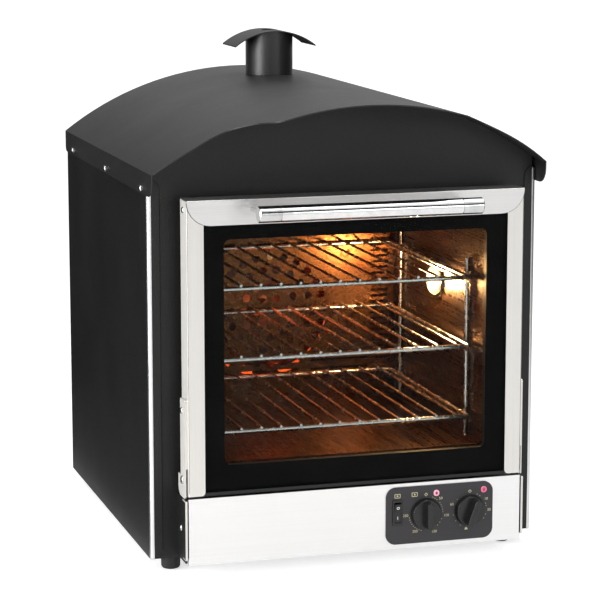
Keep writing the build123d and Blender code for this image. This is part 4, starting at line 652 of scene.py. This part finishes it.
ring = [circle(0, 0, ring_outer, 28), circle(0, 0, ring_inner, 28)]
bar = [rounded_box(-bar_half, -bar_reach, bar_half, bar_reach, bar_round, 3)]
marks = []
for loops, end in ((ring, upper_end), (bar, lower_end)):
    marks.append(joined([drawn(loops, print_sheet)], on_face(ridge, end, mark_share, mark_lift)))
rocker_marks = joined(marks, Matrix.Identity(4))
finished("rocker_marks", rocker_marks, "rocker", white_print)

# ---------------------------------------------------------------- painted shade of the screws' cross recesses
head_height = 2.4
recess_arm, recess_web, recess_sheet = 1.7, 0.51, 0.1


def cross_recess_shade(place, facing):
    """Painted shade of a screw's cross recess: a thin dark cross that lies on the crown of the head."""
    corners = [(-recess_web, recess_arm), (-recess_web, recess_web), (-recess_arm, recess_web)]
    outline = []
    for quarter in range(4):
        outline += corners
        corners = [(-z, x) for x, z in corners]
    mesh = drawn([outline], recess_sheet)
    turn = Vector(facing).to_track_quat("Z", "Y").to_matrix().to_4x4()
    mesh.transform(Matrix.Translation(Vector(place) * MM) @ turn)
    return mesh


# Faces that carry screws, and the places of the screws on them.
roof_side, trim_side, strap_side, stile_side, casing_back = 251.5, 215.9, 217.6, 214.0, 295.0
roof_screws_y, roof_screws_z = (-167, 38, 248), 476
trim_screw_y, trim_screw_z = -213, 63
back_screws_x, back_screws_z = 243, (34, 257.5, 476)
door_screws_y, strap_screw_z, stile_screw_z = -228, 213, 456.3

casing_crosses, door_crosses = [], []
for side in (-1, 1):
    sideways = (side, 0, 0)
    roof_crown, trim_crown = side * (roof_side + head_height), side * (trim_side + head_height)
    for y in roof_screws_y:
        casing_crosses.append(cross_recess_shade((roof_crown, y, roof_screws_z), sideways))
    casing_crosses.append(cross_recess_shade((trim_crown, trim_screw_y, trim_screw_z), sideways))
    for z in back_screws_z:
        place = (side * back_screws_x, casing_back + head_height, z)
        casing_crosses.append(cross_recess_shade(place, (0, 1, 0)))
    for face, z in ((strap_side, strap_screw_z), (stile_side, stile_screw_z)):
        place = (side * (face + head_height), door_screws_y, z)
        door_crosses.append(cross_recess_shade(place, sideways))
for body, crosses in (("casing", casing_crosses), ("door", door_crosses)):
    recess_mesh = joined(crosses, Matrix.Identity(4))
    finished(f"{body}_screw_recess_shades", recess_mesh, body, recess_shade)


# ---------------------------------------------------------------- painted shade along the seams between the sheets
shade_line_sheet, shade_line_gap = 0.08, 0.05


def arc_band(cx, cz, inner, outer, first, last, count=14):
    """Loop of a curved band about a centre, between two radii and two angles."""
    turns = [math.radians(first + (last - first) * i / count) for i in range(count + 1)]
    out = [(cx + outer * math.cos(t), cz + outer * math.sin(t)) for t in turns]
    back = [(cx + inner * math.cos(t), cz + inner * math.sin(t)) for t in reversed(turns)]
    return out + back


def bar_loop(left, floor, right, top):
    return [(left, floor), (right, floor), (right, top), (left, top)]


def painted_shade_lines(name, loops, face, body, material):
    """Thin lines of shade in front of an upright face, drawn on the right and mirrored."""
    sheets = []
    for side in (-1, 1):
        for loop in loops:
            sheets.append(drawn([[(side * x, z) for x, z in loop]], shade_line_sheet))
    finished(name, joined(sheets, upright(face - shade_line_gap * MM)), body, material)


# Painted shadow on the stiles along the top rail's curved lower corners, and painted shade along the
# door's outer edges.
rail_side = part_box("door_top_rail")[1].x / MM
rail_corner, rail_shade_width, rail_floor = 30.0, 0.9, 438.0
door_edge_shade = bar_loop(212.9, 112, 213.5, 462)
rail_corner_shade = arc_band(
    rail_side - rail_corner, rail_floor + rail_corner, rail_corner, rail_corner + rail_shade_width, -71, -3
)
stile_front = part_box("door_stile_right")[0].y
painted_shade_lines(
    "rail_seam_shadows", (rail_corner_shade, door_edge_shade), stile_front, "door", rail_seam_shade
)

# Painted shadow on the fascia along the edge of the casing's front fold.
return_edge, return_top, return_floor, return_round = 235.0, 488.0, 18.0, 12.0
casing_shade_width, shade_line_end = 1.1, 244.5
return_edge_shade = bar_loop(
    return_edge - casing_shade_width, return_floor + return_round, return_edge, return_top - return_round
)
return_top_shade = arc_band(
    return_edge + return_round,
    return_top - return_round,
    return_round,
    return_round + casing_shade_width,
    100,
    180,
)
return_top_shade = [(min(x, shade_line_end), z) for x, z in return_top_shade]
fascia_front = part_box("front_fascia")[0].y
painted_shade_lines(
    "casing_seam_shadows", (return_top_shade, return_edge_shade), fascia_front, "casing", seam_shade
)

# ---------------------------------------------------------------- strips on the front bends
bend_x, bend_y, bend_radius = 245.0, -186.0, 5.0
strip_gap, strip_skin, strip_inset = 0.03, 0.2, 1.5
strip_floor, strip_top = return_floor + strip_inset, return_top - strip_inset
inner, outer = bend_radius + strip_gap, bend_radius + strip_skin
strips = []
for side, first in ((-1, 180), (1, 270)):
    band = arc_band(side * bend_x, bend_y, inner, outer, first, first + 90, 16)
    strips.append(drawn([band], strip_top - strip_floor))
strip_middle = (strip_floor + strip_top) / 2 * MM
corner_strips = joined(strips, Matrix.Translation((0, 0, strip_middle)))
finished("corner_strips", corner_strips, "casing", steel_corner)

# ---------------------------------------------------------------- dark skins on both sides of the trims; the inner skins are painted shade in the gap beside the control panel
trim_low, trim_high = (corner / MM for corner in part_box("cheek_trims"))
trim_sheet = 2.4
skin_gap, skin_sheet, skin_front_inset, skin_end_inset, skin_round = 0.25, 0.4, 1.2, 1.5, 0.1
inner_shade_skin_rear = -232.6
skin_front = trim_low.y + skin_front_inset
skin_height = trim_high.z - trim_low.z - 2 * skin_end_inset
outer_skin = (trim_high.x + skin_gap, trim_high.y)
# The inner skins are painted shade in the gap beside the control panel.
inner_shade_skin = (trim_high.x - trim_sheet - skin_gap, inner_shade_skin_rear)

trim_skins = bmesh.new()
for side in (-1, 1):
    for x, rear in (outer_skin, inner_shade_skin):
        skin = bmesh.ops.create_cube(trim_skins, size=MM)["verts"]
        stretch = (skin_sheet, rear - skin_front, skin_height)
        bmesh.ops.scale(trim_skins, vec=stretch, verts=skin)
        middle = Vector((side * x, (skin_front + rear) / 2, (trim_low.z + trim_high.z) / 2)) * MM
        bmesh.ops.translate(trim_skins, vec=middle, verts=skin)
edges = trim_skins.edges[:]
bmesh.ops.bevel(trim_skins, geom=edges, offset=skin_round * MM, segments=2, affect="EDGES")
trim_mesh = bpy.data.meshes.new("trim_skins")
trim_skins.to_mesh(trim_mesh)
trim_skins.free()
finished("trim_skins", trim_mesh, "casing", coat)


# ---------------------------------------------------------------- floor and backdrop
def white_stage(name, camera_light, mirror_light):
    """White surface that keeps shadows and otherwise shows as plain white."""
    f = Finish(name)
    tone = f.noise(3, 2, 0.5)
    f.colour(f.ramp(tone, [(0.0, grey(0.80)), (1.0, grey(0.82))]))
    f.set(Roughness=0.9)
    path = f.add("ShaderNodeLightPath")
    plain = f.math("MAXIMUM", path.outputs["Is Camera Ray"], path.outputs["Is Transmission Ray"])
    mirrored = f.math("MULTIPLY", path.outputs["Is Glossy Ray"], mirror_light)
    seen = f.math("MAXIMUM", f.math("MULTIPLY", plain, camera_light), mirrored)
    glow = f.add("ShaderNodeEmission")
    glow.inputs["Color"].default_value = (1, 1, 1, 1)
    f.link(seen, glow.inputs["Strength"])
    both = f.add("ShaderNodeAddShader")
    f.link(f.shader.outputs[0], both.inputs[0])
    f.link(glow.outputs[0], both.inputs[1])
    f.link(both.outputs[0], f.output.inputs["Surface"])
    return f.material


sweep = bmesh.new()
half_width, front_edge, back_edge, wall_top = 9.0, -7.0, 5.0, 7.0
sweep_radius, sweep_steps = 2.0, 12
floor_drop = 0.0002
arc_start = back_edge - sweep_radius
profile = [(front_edge, 0.0), (arc_start, 0.0)]
for i in range(1, sweep_steps + 1):
    t = math.radians(90 * i / sweep_steps)
    profile.append((arc_start + sweep_radius * math.sin(t), sweep_radius * (1 - math.cos(t))))
profile.append((back_edge, wall_top))
left, right = (
    [sweep.verts.new((x, y, z - floor_drop)) for y, z in profile] for x in (-half_width, half_width)
)
for i in range(len(profile) - 1):
    sweep.faces.new((left[i], right[i], right[i + 1], left[i + 1]))
sweep_mesh = bpy.data.meshes.new("studio_sweep")
sweep.to_mesh(sweep_mesh)
sweep.free()
for face in sweep_mesh.polygons:
    face.use_smooth = True
studio = bpy.data.objects.new("studio_sweep", sweep_mesh)
bpy.context.scene.collection.objects.link(studio)
sweep_mesh.materials.append(white_stage("white_stage", camera_light=0.60, mirror_light=0.22))


def shade_card(name, first, last, stops, low, high):
    """Card that only mirrors and glossy paint see, between two opposite corners.

    Its tone changes along X, from low to high.
    """
    f = Finish(name)
    split = f.add("ShaderNodeSeparateXYZ")
    f.link(f.place, split.inputs[0])
    drift = f.math("MULTIPLY", f.noise(2.0, 2, 0.5), 0.1)
    along = f.math("ADD", f.ranged(split.outputs["X"], 0.0, 1.0, low, high), drift)
    glow = f.add("ShaderNodeEmission")
    f.link(f.ramp(along, stops), glow.inputs["Color"])
    f.link(glow.outputs[0], f.output.inputs["Surface"])
    (x0, y0, z0), (x1, y1, z1) = first, last
    if z0 == z1:
        corners = [(x0, y0, z0), (x1, y0, z0), (x1, y1, z0), (x0, y1, z0)]
    else:
        corners = [(x0, y0, z0), (x1, y1, z0), (x1, y1, z1), (x0, y0, z1)]
    mesh = bpy.data.meshes.new(name)
    mesh.from_pydata(corners, [], [(0, 1, 2, 3)])
    mesh.materials.append(f.material)
    card = bpy.data.objects.new(name, mesh)
    bpy.context.scene.collection.objects.link(card)
    card.visible_camera = False
    card.visible_diffuse = False
    card.visible_transmission = False
    card.visible_volume_scatter = False
    card.visible_shadow = False


# Dark cards behind and to the left give the roof and the left side their blacks.
card_left, card_end, card_depth, card_split, card_top = -3.2, 1.7, 0.9, 0.5, 2.6
behind_tones = [
    (0.0, grey(0.015)),
    (0.57, grey(0.04)),
    (0.63, grey(0.28)),
    (0.69, grey(0.68)),
    (1.0, grey(0.7)),
]
shade_card(
    "card_behind_high",
    (card_left, card_depth, card_split),
    (card_end, card_depth, card_top),
    behind_tones,
    card_left,
    card_end,
)
shade_card(
    "card_behind_low",
    (card_left, card_depth, 0.0),
    (card_end, card_depth, card_split),
    [(0.0, grey(0.015)), (1.0, grey(0.025))],
    card_left,
    card_end,
)
low_card_end, low_card_height = -0.28, 0.002
shade_card(
    "card_low_left",
    (card_left, -0.15, low_card_height),
    (low_card_end, card_depth, low_card_height),
    [(0.0, grey(0.015)), (1.0, grey(0.03))],
    card_left,
    low_card_end,
)
# Two more keep the white room out of the right side and the door's glass.
dark_tones = [(0.0, grey(0.03)), (1.0, grey(0.05))]
shade_card("card_right", (1.5, -2.2, 0.0), (1.5, 1.5, 1.8), dark_tones, 0.0, 2.0)
shade_card("card_in_front", (4.0, -2.6, 1.25), (-4.0, -2.6, 2.5), dark_tones, -4.0, 4.0)


# ---------------------------------------------------------------- light
def light(name, kind, place, power, colour=(1, 1, 1)):
    data = bpy.data.lights.new(name, kind)
    data.energy = power
    data.color = colour
    lamp = bpy.data.objects.new(name, data)
    bpy.context.scene.collection.objects.link(lamp)
    lamp.location = place
    return lamp


def softbox(name, place, target, width, height, power):
    """White rectangle of light at a place, facing a target."""
    lamp = light(name, "AREA", place, power)
    lamp.data.shape = "RECTANGLE"
    lamp.data.size = width
    lamp.data.size_y = height
    facing = Vector(target) - Vector(place)
    lamp.rotation_euler = facing.to_track_quat("-Z", "Y").to_euler()


softbox("key_above", (0.3, -0.6, 2.9), (0, 0, 0.3), 2.4, 1.8, 32)
softbox("fill_front", (1.6, -3.2, 1.6), (0, 0, 0.3), 1.6, 1.6, 20)
softbox("softbox_left", (-2.3, -0.85, 0.75), (0, 0, 0.35), 0.8, 1.8, 46)
oven_lamp = light("oven_lamp", "POINT", (0.158, -0.019, 0.319), 3.2, (1.0, 0.56, 0.22))
oven_lamp.data.shadow_soft_size = 0.012
element_glow = light("element_glow", "POINT", (0.0, 0.168, 0.257), 0.35, (1.0, 0.12, 0.02))
element_glow.data.shadow_soft_size = 0.05

# The world is soft light for the part, and plain white for the camera, mirrors and glass.
soft_level, white_level = 0.55, 1.0
world = bpy.data.worlds.new("studio_world")
bpy.context.scene.world = world
world.use_nodes = True
tree = world.node_tree
tree.nodes.clear()
path = tree.nodes.new("ShaderNodeLightPath")
seen = path.outputs["Is Camera Ray"]
for ray in ("Is Glossy Ray", "Is Transmission Ray"):
    either = tree.nodes.new("ShaderNodeMath")
    either.operation = "MAXIMUM"
    tree.links.new(seen, either.inputs[0])
    tree.links.new(path.outputs[ray], either.inputs[1])
    seen = either.outputs[0]
both = tree.nodes.new("ShaderNodeMixShader")
tree.links.new(seen, both.inputs[0])
for socket, level in ((1, soft_level), (2, white_level)):
    white = tree.nodes.new("ShaderNodeBackground")
    white.inputs["Color"].default_value = (1, 1, 1, 1)
    white.inputs["Strength"].default_value = level
    tree.links.new(white.outputs[0], both.inputs[socket])
world_output = tree.nodes.new("ShaderNodeOutputWorld")
tree.links.new(both.outputs[0], world_output.inputs["Surface"])

# ---------------------------------------------------------------- camera
# The photograph's camera, found by matching the casing's corners to the picture.
camera_place = (-0.8941, -3.0004, 0.8555)
camera_right = Vector((0.95773, -0.28768, 0.0))
camera_up = Vector((0.05045, 0.16795, 0.98450))
camera_ahead = Vector((0.28322, 0.94289, -0.17537))
camera_data = bpy.data.cameras.new("camera")
camera_data.lens = 142.3
camera_data.sensor_width = 36.0
camera_data.clip_end = 100.0
camera = bpy.data.objects.new("camera", camera_data)
bpy.context.scene.collection.objects.link(camera)
turn = Matrix((camera_right, camera_up, -camera_ahead)).transposed().to_4x4()
camera.matrix_world = Matrix.Translation(camera_place) @ turn
bpy.context.scene.camera = camera
bpy.context.scene.view_settings.view_transform = "Standard"
